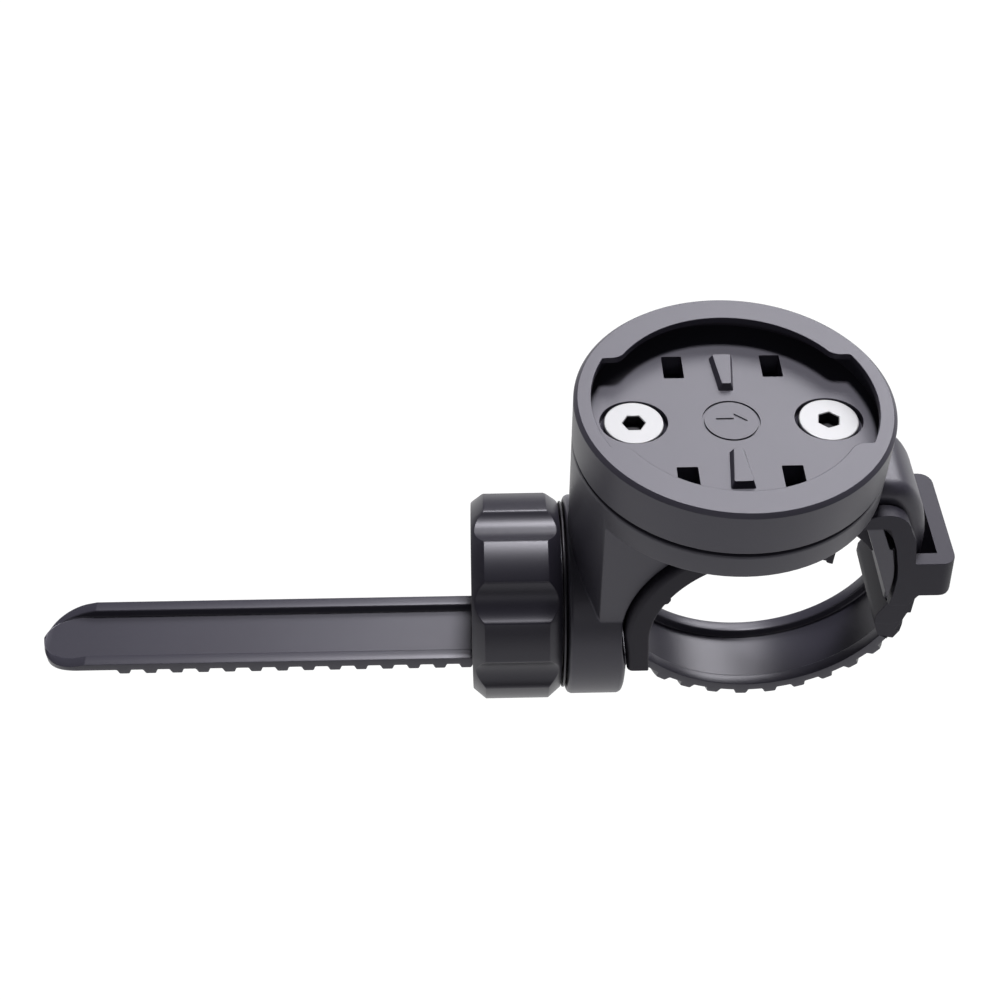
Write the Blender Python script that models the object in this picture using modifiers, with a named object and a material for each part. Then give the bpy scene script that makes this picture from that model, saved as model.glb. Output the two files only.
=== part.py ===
"""Handlebar mount for a bicycle computer.

A round quarter-turn cup is screwed to a bracket that sits on the handlebar.  A toothed strap
goes round the bar.  Its frame-shaped end drops over the bracket's arm, and its tail runs
through a slotted core, where the teeth meet the bore of a fluted knob.

Axes: the origin is the centre of the handlebar, +X points from the knob to the arm, +Y runs
along the handlebar and +Z points up through the cup.  All sizes are in metres.
"""
import math

import bmesh
import bpy
import numpy as np
from mathutils import Matrix, Vector

MM = 0.001

# Clearances
TOUCH_GAP = 0.3 * MM
SEAT_GAP = 0.25 * MM
MERGE = 0.002 * MM

# Handlebar and its rubber liner
BAR_RADIUS = 15.9 * MM
LINER_PLAY = 0.1 * MM
LINER_THICKNESS = 3.2 * MM
LINER_HALF_WIDTH = 13.0 * MM
LINER_TRIM = 0.6 * MM
LINER_TAIL_LENGTH = 6.7 * MM
LINER_TAIL_LEAN = 0.4 * MM
LINER_TAIL_GAP = 0.3 * MM
LINER_END_ANGLE = 33.0
LINER_RIB_HEIGHT = 0.3 * MM
LINER_RIB_ANGLE = 4.5
LINER_RIB_FLANK = 1.0
LINER_RIBS = (151.3, 68.3)

# Cup that takes the computer's foot; margins are measured inwards from its outer wall
CUP_RADIUS = 20.0 * MM
CUP_HEIGHT = 6.7 * MM
CUP_LEDGE = 0.3 * MM
CUP_WALL = 2.0 * MM
CUP_TOP_CHAMFER = 0.5 * MM
CUP_BOTTOM_CHAMFER = 0.25 * MM
FLOOR_DEPTH = 3.64 * MM
LIP_THICKNESS = 1.5 * MM
LIP_WIDTH = 4.17 * MM
WING_MARGIN = 2.2 * MM
WING_HALF_WIDTH = 8.15 * MM
WING_FILLET = 2.0 * MM
RING_GROOVE_RADIUS = 3.53 * MM
RING_GROOVE_WIDTH = 0.3 * MM
RING_GROOVE_DEPTH = 0.25 * MM

# Holes and keys of the cup's floor; margins are measured inwards from the lip
FLOOR_HOLE_MARGIN = 3.43 * MM
FLOOR_HOLE_LENGTH = 4.26 * MM
FLOOR_HOLE_NEAR = 5.1 * MM
FLOOR_HOLE_FAR = 7.75 * MM
WEDGE_MARGIN = 3.83 * MM
WEDGE_LENGTH = 6.4 * MM
WEDGE_HEIGHT = 1.0 * MM
WEDGE_INNER_WIDTH = 1.9 * MM
WEDGE_OUTER_WIDTH = 3.1 * MM
WEDGE_DRAFT = 0.4 * MM
WEDGE_EDGE = 0.12 * MM

# Cup screws and their threaded inserts
SCREW_MARGIN = 7.7 * MM
SCREW_HEAD_RADIUS = 3.75 * MM
SCREW_HEAD_RIM = 0.45 * MM
SCREW_HEAD_EDGE = 0.15 * MM
SCREW_SHANK_RADIUS = 1.95 * MM
SCREW_SINK = 0.1 * MM
SCREW_POINT = 0.4 * MM
SOCKET_ACROSS_FLATS = 2.5 * MM
SOCKET_DEPTH = 1.5 * MM
SOCKET_TURNS = {"left": 8.0, "right": 20.0}
COUNTERBORE_RADIUS = 4.3 * MM
INSERT_RADIUS = 2.8 * MM
INSERT_FLOOR = 0.3 * MM
INSERT_GROOVE_DEPTH = 0.35 * MM
INSERT_GROOVE_WIDTH = 1.0 * MM

# Bracket
BASE_THICKNESS = 3.72 * MM
BASE_EDGE = 0.3 * MM
SLAB_CROWN = 0.88 * MM
SLAB_HALF_WIDTH = 11.65 * MM
SLAB_END = 6.9 * MM
SLAB_BOTTOM = -3.0 * MM

# Arm that goes down beside the bar
ARM_HALF_WIDTH = 6.1 * MM
ARM_EDGE = 2.0 * MM
ARM_LAP = 3.0 * MM
ARM_ROOT = 0.42 * MM
ARM_INSET = 2.2 * MM
ARM_REACH = 6.25 * MM
ARM_RISE = 12.0 * MM
ARM_FOOT = -0.6 * MM
ARM_STEP_ANGLE = 31.0
LUG_RECESS = 0.35 * MM
LUG_ROOT = 0.1 * MM
LUG_TOP = -2.85 * MM

# Boss, core and knob on the tightening axis
KNOB_AXIS_DROP = 5.5 * MM
CORE_RADIUS = 10.75 * MM
BOSS_STEP = 0.54 * MM
BOSS_LENGTH = 7.75 * MM
BOSS_SINK = 0.35 * MM
BOSS_EDGE = 0.7 * MM
WASHER_THICKNESS = 0.3 * MM
WASHER_INSET = 1.44 * MM
KNOB_WALL = 3.79 * MM
KNOB_LENGTH = 12.1 * MM
KNOB_CHAMFER_LENGTH = 1.75 * MM
KNOB_CHAMFER_DEPTH = 1.5 * MM
FLUTE_COUNT = 8
FLUTE_DEPTH = 1.1 * MM
FLUTE_RADIUS = 4.85 * MM
CAP_LIP = 1.25 * MM
CAP_THICKNESS = 1.1 * MM
CAP_INSET = 0.25 * MM
CAP_SCREW_HEAD_RADIUS = 2.6 * MM
CAP_SCREW_SHANK_RADIUS = 1.4 * MM
CAP_SCREW_LENGTH = 8.0 * MM
CAP_SOCKET_ACROSS_FLATS = 2.0 * MM
CAP_SOCKET_DEPTH = 1.0 * MM

# Toothed strap: even teeth on the tail, and teeth at even angles on the loop
STRAP_HALF_WIDTH = 5.83 * MM
STRAP_THICKNESS = 3.81 * MM
STRAP_TIP = -101.5 * MM
RAIL_WIDTH = 1.73 * MM
RAIL_HEIGHT = 1.7 * MM
RAIL_EDGE = 0.12 * MM
RAIL_DRAFT = 0.15 * MM
RAIL_FADE_START = -0.5 * MM
RAIL_FADE_END = 6.9 * MM
TOOTH_DEPTH = 0.69 * MM
TOOTH_PITCH = 3.745 * MM
TOOTH_BASE = 1.9 * MM
TOOTH_TIP = 1.55 * MM
FIRST_TOOTH = 12.3 * MM
LOOP_TOOTH_ANGLE = 268.75
LOOP_TOOTH_STEP = 11.25
LOOP_STEP = 3.35 * MM
LOOP_END_ANGLE = -5.0
BEND_RADIUS = 8.0 * MM

# Frame at the end of the strap
FRAME_RISE = 0.15 * MM
FRAME_HEIGHT = 6.35 * MM
FRAME_SLACK = 1.55 * MM
FRAME_BAR = 2.3 * MM
FRAME_WALL = 2.0 * MM
FRAME_LEAN = 0.57 * MM
FRAME_CORNER = 1.8 * MM
FRAME_LOWER_CORNER = 1.0 * MM
FRAME_TRIM = 0.15 * MM

# Ear above the frame, measured from the centre of the arm's shoulder
EAR_RADIUS = 3.78 * MM
EAR_CENTRE = (-0.8 * MM, 5.8 * MM)
EAR_START_ANGLE = 12.0
EAR_BACK = ((4.6 * MM, FRAME_RISE), (4.4 * MM, 1.5 * MM), (3.8 * MM, 4.75 * MM))
EAR_FOOT = ((2.5 * MM, -8.2 * MM), (5.1 * MM, -8.2 * MM), (6.2 * MM, FRAME_RISE - FRAME_HEIGHT))
HOOK_UNDERSIDE = 7.0 * MM
SLOT_WIDTH = 0.4 * MM
WINDOW = (
    (0.0, HOOK_UNDERSIDE),
    (1.3 * MM, 3.7 * MM),
    (1.55 * MM, 3.0 * MM),
    (2.4 * MM, -0.6 * MM),
    (2.67 * MM, -2.6 * MM),
    (2.7 * MM, -4.8 * MM),
    (2.59 * MM, -6.97 * MM),
)

# Pad under the arm's foot, and the ramp and web behind it
PAD_PLAY = 0.4 * MM
PAD_LIP = 0.65 * MM
PAD_SIDE = 0.4 * MM
PAD_BACK = 1.3 * MM
PAD_INNER = ((-0.4 * MM, -3.4 * MM), (-0.37 * MM, -5.0 * MM))
PAD_STEP = ((-2.3 * MM, -5.4 * MM), (-0.9 * MM, -4.6 * MM))
RAMP_ANGLE = -26.8
RAMP_DEPTH = 0.33 * MM
WEB = ((-2.0 * MM, 0.4 * MM), (-1.3 * MM, 3.35 * MM), (-2.3 * MM, 3.35 * MM), (-3.4 * MM, 1.0 * MM))

# Sizes that follow from the ones above: liner, base and cup, from the bar upwards
LINER_INNER = BAR_RADIUS + LINER_PLAY
LINER_OUTER = LINER_INNER + LINER_THICKNESS
LINER_REACH = SLAB_END - LINER_TRIM
SADDLE_RADIUS = LINER_OUTER + TOUCH_GAP
BASE_BOTTOM = SADDLE_RADIUS + SLAB_CROWN
BASE_TOP = BASE_BOTTOM + BASE_THICKNESS
CUP_BOTTOM = BASE_TOP + TOUCH_GAP
CUP_TOP = CUP_BOTTOM + CUP_HEIGHT
FLOOR_Z = CUP_TOP - FLOOR_DEPTH
LIP_RADIUS = CUP_RADIUS - LIP_WIDTH
WING_RADIUS = CUP_RADIUS - WING_MARGIN
POCKET_RADIUS = CUP_RADIUS - CUP_WALL
FLOOR_HOLE_OUTER = LIP_RADIUS - FLOOR_HOLE_MARGIN
FLOOR_HOLE_INNER = FLOOR_HOLE_OUTER - FLOOR_HOLE_LENGTH
WEDGE_OUTER = LIP_RADIUS - WEDGE_MARGIN
WEDGE_INNER = WEDGE_OUTER - WEDGE_LENGTH
SCREW_OFFSET = CUP_RADIUS - SCREW_MARGIN
SCREW_TOP = FLOOR_Z - SCREW_SINK
SCREW_CONE = SCREW_HEAD_RADIUS - SCREW_SHANK_RADIUS
INSERT_TOP = BASE_TOP - TOUCH_GAP
INSERT_BOTTOM = SADDLE_RADIUS + INSERT_FLOOR + TOUCH_GAP

# Sizes of the knob's side that follow from the ones above
KNOB_AXIS = (0.0, -KNOB_AXIS_DROP)
KNOB_RADIUS = CORE_RADIUS + KNOB_WALL
BOSS_RADIUS = KNOB_RADIUS - BOSS_STEP
WASHER_RADIUS = KNOB_RADIUS - WASHER_INSET
CAP_RADIUS = CORE_RADIUS + CAP_LIP
BORE_RADIUS = CORE_RADIUS + TOUCH_GAP
BOSS_FACE = BOSS_SINK - LINER_OUTER
BOSS_BACK = BOSS_FACE - BOSS_LENGTH
WASHER_X = BOSS_BACK - SEAT_GAP - WASHER_THICKNESS
KNOB_RIGHT = WASHER_X - SEAT_GAP
KNOB_LEFT = KNOB_RIGHT - KNOB_LENGTH
CAP_LEFT = KNOB_LEFT + CAP_INSET
CORE_END = CAP_LEFT + CAP_THICKNESS + SEAT_GAP
CUP_OFFSET = BOSS_BACK + CUP_LEDGE + CUP_RADIUS

# Sizes of the strap and the arm that follow from the ones above
RAIL_DROP = CORE_RADIUS - STRAP_THICKNESS
RAIL_Z = -KNOB_AXIS_DROP - RAIL_DROP
TOOTH_ROOT_RADIUS = CORE_RADIUS - TOOTH_DEPTH
PAD_RADIUS = LINER_INNER + PAD_PLAY
LOOP_RADIUS = PAD_RADIUS + LOOP_STEP
ARM_START = SLAB_END - ARM_LAP
ARM_CENTRE_X = PAD_RADIUS - ARM_INSET
ARM_CENTRE_Z = BASE_BOTTOM + ARM_ROOT - ARM_RISE
ARM_OUTER = ARM_CENTRE_X + ARM_REACH
FRAME_TOP = ARM_CENTRE_Z + FRAME_RISE
FRAME_BOTTOM = FRAME_TOP - FRAME_HEIGHT
FRAME_OUTER = ARM_OUTER + FRAME_SLACK + FRAME_BAR
FRAME_INNER_HALF_WIDTH = ARM_HALF_WIDTH + TOUCH_GAP
FRAME_HALF_WIDTH = FRAME_INNER_HALF_WIDTH + FRAME_WALL
LUG_HALF_WIDTH = FRAME_HALF_WIDTH - LUG_RECESS
WEB_INNER = ARM_OUTER + TOUCH_GAP
PAD_HALF_WIDTH = FRAME_INNER_HALF_WIDTH + PAD_SIDE
PAD_TOP = ARM_FOOT - TOUCH_GAP
PAD_MOUTH = PAD_RADIUS + PAD_LIP

# Colours as seen in the photograph
GRAPHITE = (0.055, 0.054, 0.062, 1.0)
GRAPHITE_STRAP = (0.060, 0.059, 0.068, 1.0)
RUBBER = (0.030, 0.030, 0.033, 1.0)
STEEL = (0.78, 0.78, 0.80, 1.0)
BRASS = (0.70, 0.52, 0.25, 1.0)
NYLON = (0.020, 0.020, 0.022, 1.0)

UPRIGHT = Matrix(((1, 0, 0), (0, 0, -1), (0, 1, 0))).to_euler()
ALONG_X = Matrix(((0, 0, 1), (0, 1, 0), (-1, 0, 0))).to_euler()
CROSSWISE = Matrix(((0, 0, 1), (1, 0, 0), (0, 1, 0))).to_euler()


def clear_scene():
    for obj in list(bpy.data.objects):
        bpy.data.objects.remove(obj, do_unlink=True)


def collection(name):
    found = bpy.data.collections.get(name)
    if found is None:
        found = bpy.data.collections.new(name)
        bpy.context.scene.collection.children.link(found)
    return found


def finish(name, colour, roughness, metallic):
    found = bpy.data.materials.get(name)
    if found is None:
        found = bpy.data.materials.new(name)
        found.use_nodes = True
        shader = found.node_tree.nodes["Principled BSDF"]
        shader.inputs["Base Color"].default_value = colour
        shader.inputs["Roughness"].default_value = roughness
        shader.inputs["Metallic"].default_value = metallic
    return found


def as_part(obj, material):
    obj.data.materials.clear()
    obj.data.materials.append(material)
    for owner in list(obj.users_collection):
        owner.objects.unlink(obj)
    collection("bike_computer_mount").objects.link(obj)
    obj.hide_render = False
    obj.display_type = "TEXTURED"
    return obj


def tool(name, mesh, location=(0.0, 0.0, 0.0), rotation=(0.0, 0.0, 0.0)):
    obj = bpy.data.objects.new(name, mesh)
    collection("cutters").objects.link(obj)
    obj.location = location
    obj.rotation_euler = rotation
    obj.hide_render = True
    obj.display_type = "WIRE"
    return obj


def combine(obj, other, operation):
    change = obj.modifiers.new(operation.lower() + "_" + other.name, "BOOLEAN")
    change.operation = operation
    change.solver = "EXACT"
    change.object = other
    return obj


def turned(name, profile, location=(0.0, 0.0, 0.0), rotation=(0.0, 0.0, 0.0), steps=64, ring=False):
    """Turns (radius, height) points, outer side from top to bottom, about the local Z axis."""
    bm = bmesh.new()
    verts = [bm.verts.new((radius, 0.0, height)) for radius, height in profile]
    for first, second in zip(verts, verts[1:]):
        bm.edges.new((first, second))
    if ring:
        bm.edges.new((verts[-1], verts[0]))
    mesh = bpy.data.meshes.new(name)
    bm.to_mesh(mesh)
    bm.free()
    obj = tool(name, mesh, location, rotation)
    screw = obj.modifiers.new("turn", "SCREW")
    screw.axis = "Z"
    screw.angle = math.tau
    screw.steps = steps
    screw.render_steps = steps
    screw.use_merge_vertices = True
    screw.merge_threshold = MERGE
    screw.use_smooth_shade = True
    return obj


def prism(name, outline, half_thickness, location=(0.0, 0.0, 0.0), rotation=UPRIGHT):
    """Fills a flat outline and gives it a thickness, as a closed mesh."""
    curve = bpy.data.curves.new(name, "CURVE")
    curve.dimensions = "2D"
    curve.fill_mode = "BOTH"
    curve.extrude = half_thickness
    spline = curve.splines.new("POLY")
    spline.points.add(len(outline) - 1)
    for point, (x, y) in zip(spline.points, outline):
        point.co = (x, y, 0.0, 1.0)
    spline.use_cyclic_u = True
    drawn = bpy.data.objects.new(name + "_curve", curve)
    bpy.context.scene.collection.objects.link(drawn)
    drawn.location = location
    drawn.rotation_euler = rotation
    bpy.context.view_layer.update()
    graph = bpy.context.evaluated_depsgraph_get()
    mesh = bpy.data.meshes.new_from_object(drawn.evaluated_get(graph))
    bm = bmesh.new()
    bm.from_mesh(mesh)
    bmesh.ops.remove_doubles(bm, verts=bm.verts, dist=MERGE)
    bmesh.ops.dissolve_limit(bm, angle_limit=math.radians(0.5), verts=bm.verts, edges=bm.edges)
    bmesh.ops.recalc_face_normals(bm, faces=bm.faces)
    bm.to_mesh(mesh)
    bm.free()
    obj = tool(name, mesh)
    obj.matrix_world = drawn.matrix_world.copy()
    bpy.data.objects.remove(drawn, do_unlink=True)
    bpy.data.curves.remove(curve)
    return obj


def block(name, low, high):
    """A box between two corners, made from a unit cube."""
    low, high = Vector(low), Vector(high)
    size = high - low
    bm = bmesh.new()
    place = Matrix.Translation((low + high) / 2.0) @ Matrix.Diagonal((size.x, size.y, size.z, 1.0))
    bmesh.ops.create_cube(bm, size=1.0, matrix=place)
    mesh = bpy.data.meshes.new(name)
    bm.to_mesh(mesh)
    bm.free()
    return tool(name, mesh)


def soften(obj, width, segments=2, angle=30.0):
    bevel = obj.modifiers.new("soft_edges", "BEVEL")
    bevel.width = width
    bevel.segments = segments
    bevel.limit_method = "ANGLE"
    bevel.angle_limit = math.radians(angle)
    bevel.harden_normals = False
    return obj


def arc(centre, radius, start, end, count):
    """Points on a circle from start to end, in degrees, both ends included."""
    angles = np.radians(np.linspace(start, end, count))
    return [(centre[0] + radius * math.cos(a), centre[1] + radius * math.sin(a)) for a in angles]


def smooth(obj, angle=30.0):
    obj.data.shade_smooth()
    obj.data.set_sharp_from_angle(angle=math.radians(angle))
    return obj


def lip_outline():
    """The cup's mouth: a circle with a wing on each side, whose corners roll onto the circle."""
    centre_y = WING_HALF_WIDTH + WING_FILLET
    reach = LIP_RADIUS + WING_FILLET
    centre_x = math.sqrt(reach ** 2 - centre_y ** 2)
    touch = math.degrees(math.atan2(centre_y, centre_x))
    corner = math.degrees(math.asin(WING_HALF_WIDTH / WING_RADIUS))
    quarter = []
    quarter += arc((0.0, 0.0), WING_RADIUS, 0.0, corner, 8)
    quarter += arc((centre_x, centre_y), WING_FILLET, 270.0, 180.0 + touch, 5)
    quarter += arc((0.0, 0.0), LIP_RADIUS, touch, 90.0, 10)[1:]
    left = [(-x, y) for x, y in reversed(quarter)][1:]
    upper = quarter + left
    lower = [(x, -y) for x, y in reversed(upper)][1:-1]
    return upper + lower


def wedge(name, side):
    """A low drafted key on the cup floor, wider towards the rim."""
    bm = bmesh.new()
    bmesh.ops.create_cube(bm, size=2.0)
    for vert in bm.verts:
        outer = vert.co.y > 0
        top = vert.co.z > 0
        half = (WEDGE_OUTER_WIDTH if outer else WEDGE_INNER_WIDTH) / 2.0
        reach = WEDGE_OUTER if outer else WEDGE_INNER
        if top:
            half -= WEDGE_DRAFT
            reach += -WEDGE_DRAFT if outer else WEDGE_DRAFT
        across = math.copysign(half, vert.co.x)
        vert.co = (across * side, reach * side, WEDGE_HEIGHT if top else -WEDGE_HEIGHT / 2.0)
    bmesh.ops.recalc_face_normals(bm, faces=bm.faces)
    mesh = bpy.data.meshes.new(name)
    bm.to_mesh(mesh)
    bm.free()
    return soften(tool(name, mesh, (CUP_OFFSET, 0.0, FLOOR_Z)), WEDGE_EDGE, 1)


def screw_seat(name, x):
    """The space a cup screw needs: counterbore, cone and clearance hole."""
    slack = TOUCH_GAP * math.sqrt(2.0)
    rim_bottom = SCREW_TOP - SCREW_HEAD_RIM
    hole = SCREW_SHANK_RADIUS + TOUCH_GAP
    profile = [
        (0.0, CUP_TOP),
        (COUNTERBORE_RADIUS, CUP_TOP),
        (COUNTERBORE_RADIUS, rim_bottom),
        (SCREW_HEAD_RADIUS + slack, rim_bottom),
        (hole, rim_bottom - (SCREW_HEAD_RADIUS + slack - hole)),
        (hole, BASE_BOTTOM),
        (0.0, BASE_BOTTOM),
    ]
    return turned(name, profile, (x, 0.0, 0.0), steps=32)


def receiver_cup():
    profile = [
        (0.0, CUP_TOP),
        (CUP_RADIUS - CUP_TOP_CHAMFER, CUP_TOP),
        (CUP_RADIUS, CUP_TOP - CUP_TOP_CHAMFER),
        (CUP_RADIUS, CUP_BOTTOM + CUP_BOTTOM_CHAMFER),
        (CUP_RADIUS - CUP_BOTTOM_CHAMFER, CUP_BOTTOM),
        (0.0, CUP_BOTTOM),
    ]
    cup = turned("receiver_cup", profile, (CUP_OFFSET, 0.0, 0.0), steps=96)
    pocket_top = CUP_TOP - LIP_THICKNESS
    mouth_bottom = (FLOOR_Z + pocket_top) / 2.0
    place = (CUP_OFFSET, 0.0, mouth_bottom + CUP_HEIGHT)
    combine(cup, prism("mouth", lip_outline(), CUP_HEIGHT, place, (0.0, 0.0, 0.0)), "DIFFERENCE")
    pocket = turned(
        "pocket",
        [(0.0, pocket_top), (POCKET_RADIUS, pocket_top), (POCKET_RADIUS, FLOOR_Z), (0.0, FLOOR_Z)],
        (CUP_OFFSET, 0.0, 0.0),
        steps=72,
    )
    combine(cup, pocket, "DIFFERENCE")
    for x_side in (-1, 1):
        for y_side in (-1, 1):
            xs = sorted((x_side * FLOOR_HOLE_NEAR, x_side * FLOOR_HOLE_FAR))
            ys = sorted((y_side * FLOOR_HOLE_INNER, y_side * FLOOR_HOLE_OUTER))
            hole = block(
                "floor_hole",
                (CUP_OFFSET + xs[0], ys[0], CUP_BOTTOM - MM),
                (CUP_OFFSET + xs[1], ys[1], FLOOR_Z + MM),
            )
            combine(cup, hole, "DIFFERENCE")
    for side in (-1, 1):
        combine(cup, screw_seat("screw_seat", CUP_OFFSET + side * SCREW_OFFSET), "DIFFERENCE")
    groove = turned(
        "ring_groove",
        [
            (RING_GROOVE_RADIUS + RING_GROOVE_WIDTH / 2, FLOOR_Z + MM),
            (RING_GROOVE_RADIUS + RING_GROOVE_WIDTH / 2, FLOOR_Z - RING_GROOVE_DEPTH),
            (RING_GROOVE_RADIUS - RING_GROOVE_WIDTH / 2, FLOOR_Z - RING_GROOVE_DEPTH),
            (RING_GROOVE_RADIUS - RING_GROOVE_WIDTH / 2, FLOOR_Z + MM),
        ],
        (CUP_OFFSET, 0.0, 0.0),
        steps=40,
        ring=True,
    )
    combine(cup, groove, "DIFFERENCE")
    for side in (-1, 1):
        combine(cup, wedge("floor_wedge", side), "UNION")
    return as_part(smooth(cup), finish("graphite_cup", GRAPHITE, 0.42, 0.0))


def hex_tool(name, across_flats, low, high, x, turn, axis):
    """A six-sided key shape between two heights on the given axis."""
    bm = bmesh.new()
    corner = across_flats / math.sqrt(3.0)
    bmesh.ops.create_cone(
        bm, cap_ends=True, segments=6, radius1=corner, radius2=corner, depth=high - low
    )
    mesh = bpy.data.meshes.new(name)
    bm.to_mesh(mesh)
    bm.free()
    middle = (low + high) / 2.0
    if axis == "Z":
        return tool(name, mesh, (x, 0.0, middle), (0.0, 0.0, math.radians(turn)))
    return tool(name, mesh, (middle, 0.0, KNOB_AXIS[1]), ALONG_X)


def cup_screw(side_name, side):
    x = CUP_OFFSET + side * SCREW_OFFSET
    rim_bottom = SCREW_TOP - SCREW_HEAD_RIM
    profile = [
        (0.0, SCREW_TOP),
        (SCREW_HEAD_RADIUS - SCREW_HEAD_EDGE, SCREW_TOP),
        (SCREW_HEAD_RADIUS, SCREW_TOP - SCREW_HEAD_EDGE),
        (SCREW_HEAD_RADIUS, rim_bottom),
        (SCREW_SHANK_RADIUS, rim_bottom - SCREW_CONE),
        (SCREW_SHANK_RADIUS, INSERT_BOTTOM + SCREW_POINT),
        (SCREW_SHANK_RADIUS - SCREW_POINT, INSERT_BOTTOM),
        (0.0, INSERT_BOTTOM),
    ]
    screw = turned("cup_screw_" + side_name, profile, (x, 0.0, 0.0), steps=32)
    socket = hex_tool(
        "socket", SOCKET_ACROSS_FLATS, SCREW_TOP - SOCKET_DEPTH, SCREW_TOP + MM, x,
        SOCKET_TURNS[side_name], "Z",
    )
    combine(screw, socket, "DIFFERENCE")
    return as_part(smooth(screw), finish("steel", STEEL, 0.3, 1.0))


def threaded_insert(side_name, side):
    """A short brass sleeve with a groove round its middle."""
    inner = SCREW_SHANK_RADIUS + SEAT_GAP
    middle = (INSERT_TOP + INSERT_BOTTOM) / 2.0
    half = INSERT_GROOVE_WIDTH / 2.0
    waist = INSERT_RADIUS - INSERT_GROOVE_DEPTH
    profile = [
        (inner, INSERT_TOP),
        (INSERT_RADIUS, INSERT_TOP),
        (INSERT_RADIUS, middle + half),
        (waist, middle + half),
        (waist, middle - half),
        (INSERT_RADIUS, middle - half),
        (INSERT_RADIUS, INSERT_BOTTOM),
        (inner, INSERT_BOTTOM),
    ]
    x = CUP_OFFSET + side * SCREW_OFFSET
    sleeve = turned("threaded_insert_" + side_name, profile, (x, 0.0, 0.0), steps=24, ring=True)
    return as_part(smooth(sleeve), finish("brass", BRASS, 0.35, 1.0))


def arm_outer_line():
    """Outer side of the arm: a quarter of an ellipse, then straight down to its foot."""
    points = []
    for angle in np.radians(np.linspace(90.0, 0.0, 13)):
        points.append((ARM_CENTRE_X + ARM_REACH * math.cos(angle), ARM_CENTRE_Z + ARM_RISE * math.sin(angle)))
    return points + [(ARM_OUTER, ARM_FOOT)]


def arm_solid():
    """The arm beside the bar, with its two long outer edges rounded."""
    outer = arm_outer_line()
    inner = [(ARM_CENTRE_X, ARM_FOOT), (ARM_START, ARM_CENTRE_Z), (ARM_START, outer[0][1])]
    outline = outer + inner
    arm = prism("arm", outline, ARM_HALF_WIDTH)
    mesh = arm.data
    weights = mesh.attributes.new("bevel_weight_edge", "FLOAT", "EDGE")
    line = {(round(x, 6), round(z, 6)) for x, z in outer + [outline[-1]]}
    for edge in mesh.edges:
        ends = [mesh.vertices[i].co for i in edge.vertices]
        flat = abs(ends[0].z - ends[1].z) < MERGE
        on_line = all((round(end.x, 6), round(end.y, 6)) in line for end in ends)
        weights.data[edge.index].value = 1.0 if flat and on_line else 0.0
    bevel = arm.modifiers.new("round_edges", "BEVEL")
    bevel.width = ARM_EDGE
    bevel.segments = 4
    bevel.limit_method = "WEIGHT"
    return arm


def foot_outline():
    """The sector, seen along the bar, in which the arm reaches in close to the bar."""
    slope = math.tan(math.radians(ARM_STEP_ANGLE))
    far = 2.0 * CUP_RADIUS
    return [(0.0, 0.0), (0.0, -far), (far, -far), (far, far * slope)]


def from_shoulder(points):
    """Moves points that are measured from the centre of the arm's shoulder to their place."""
    return [(ARM_CENTRE_X + x, ARM_CENTRE_Z + z) for x, z in points]


def lug_outline():
    """The side lug that fills the ear's window, with a slot left under the hook's corner."""
    edge = [(x - TOUCH_GAP, z - TOUCH_GAP) for x, z in from_shoulder(WINDOW)]
    corner = [(edge[0][0] - SLOT_WIDTH, edge[0][1]), (edge[2][0] - SLOT_WIDTH, edge[2][1])]
    return corner + edge[2:] + [(ARM_CENTRE_X + LUG_TOP, edge[0][1])]


def slot_outline(slack, below):
    """Cross-section of the strap's passage, in the plane across the knob's axis."""
    half = STRAP_HALF_WIDTH + slack
    top = -RAIL_DROP + slack
    radius = CORE_RADIUS + slack + below
    side = math.degrees(math.asin(half / radius))
    return [(half, top), (-half, top)] + arc((0.0, 0.0), radius, 270.0 - side, 270.0 + side, 9)


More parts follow.
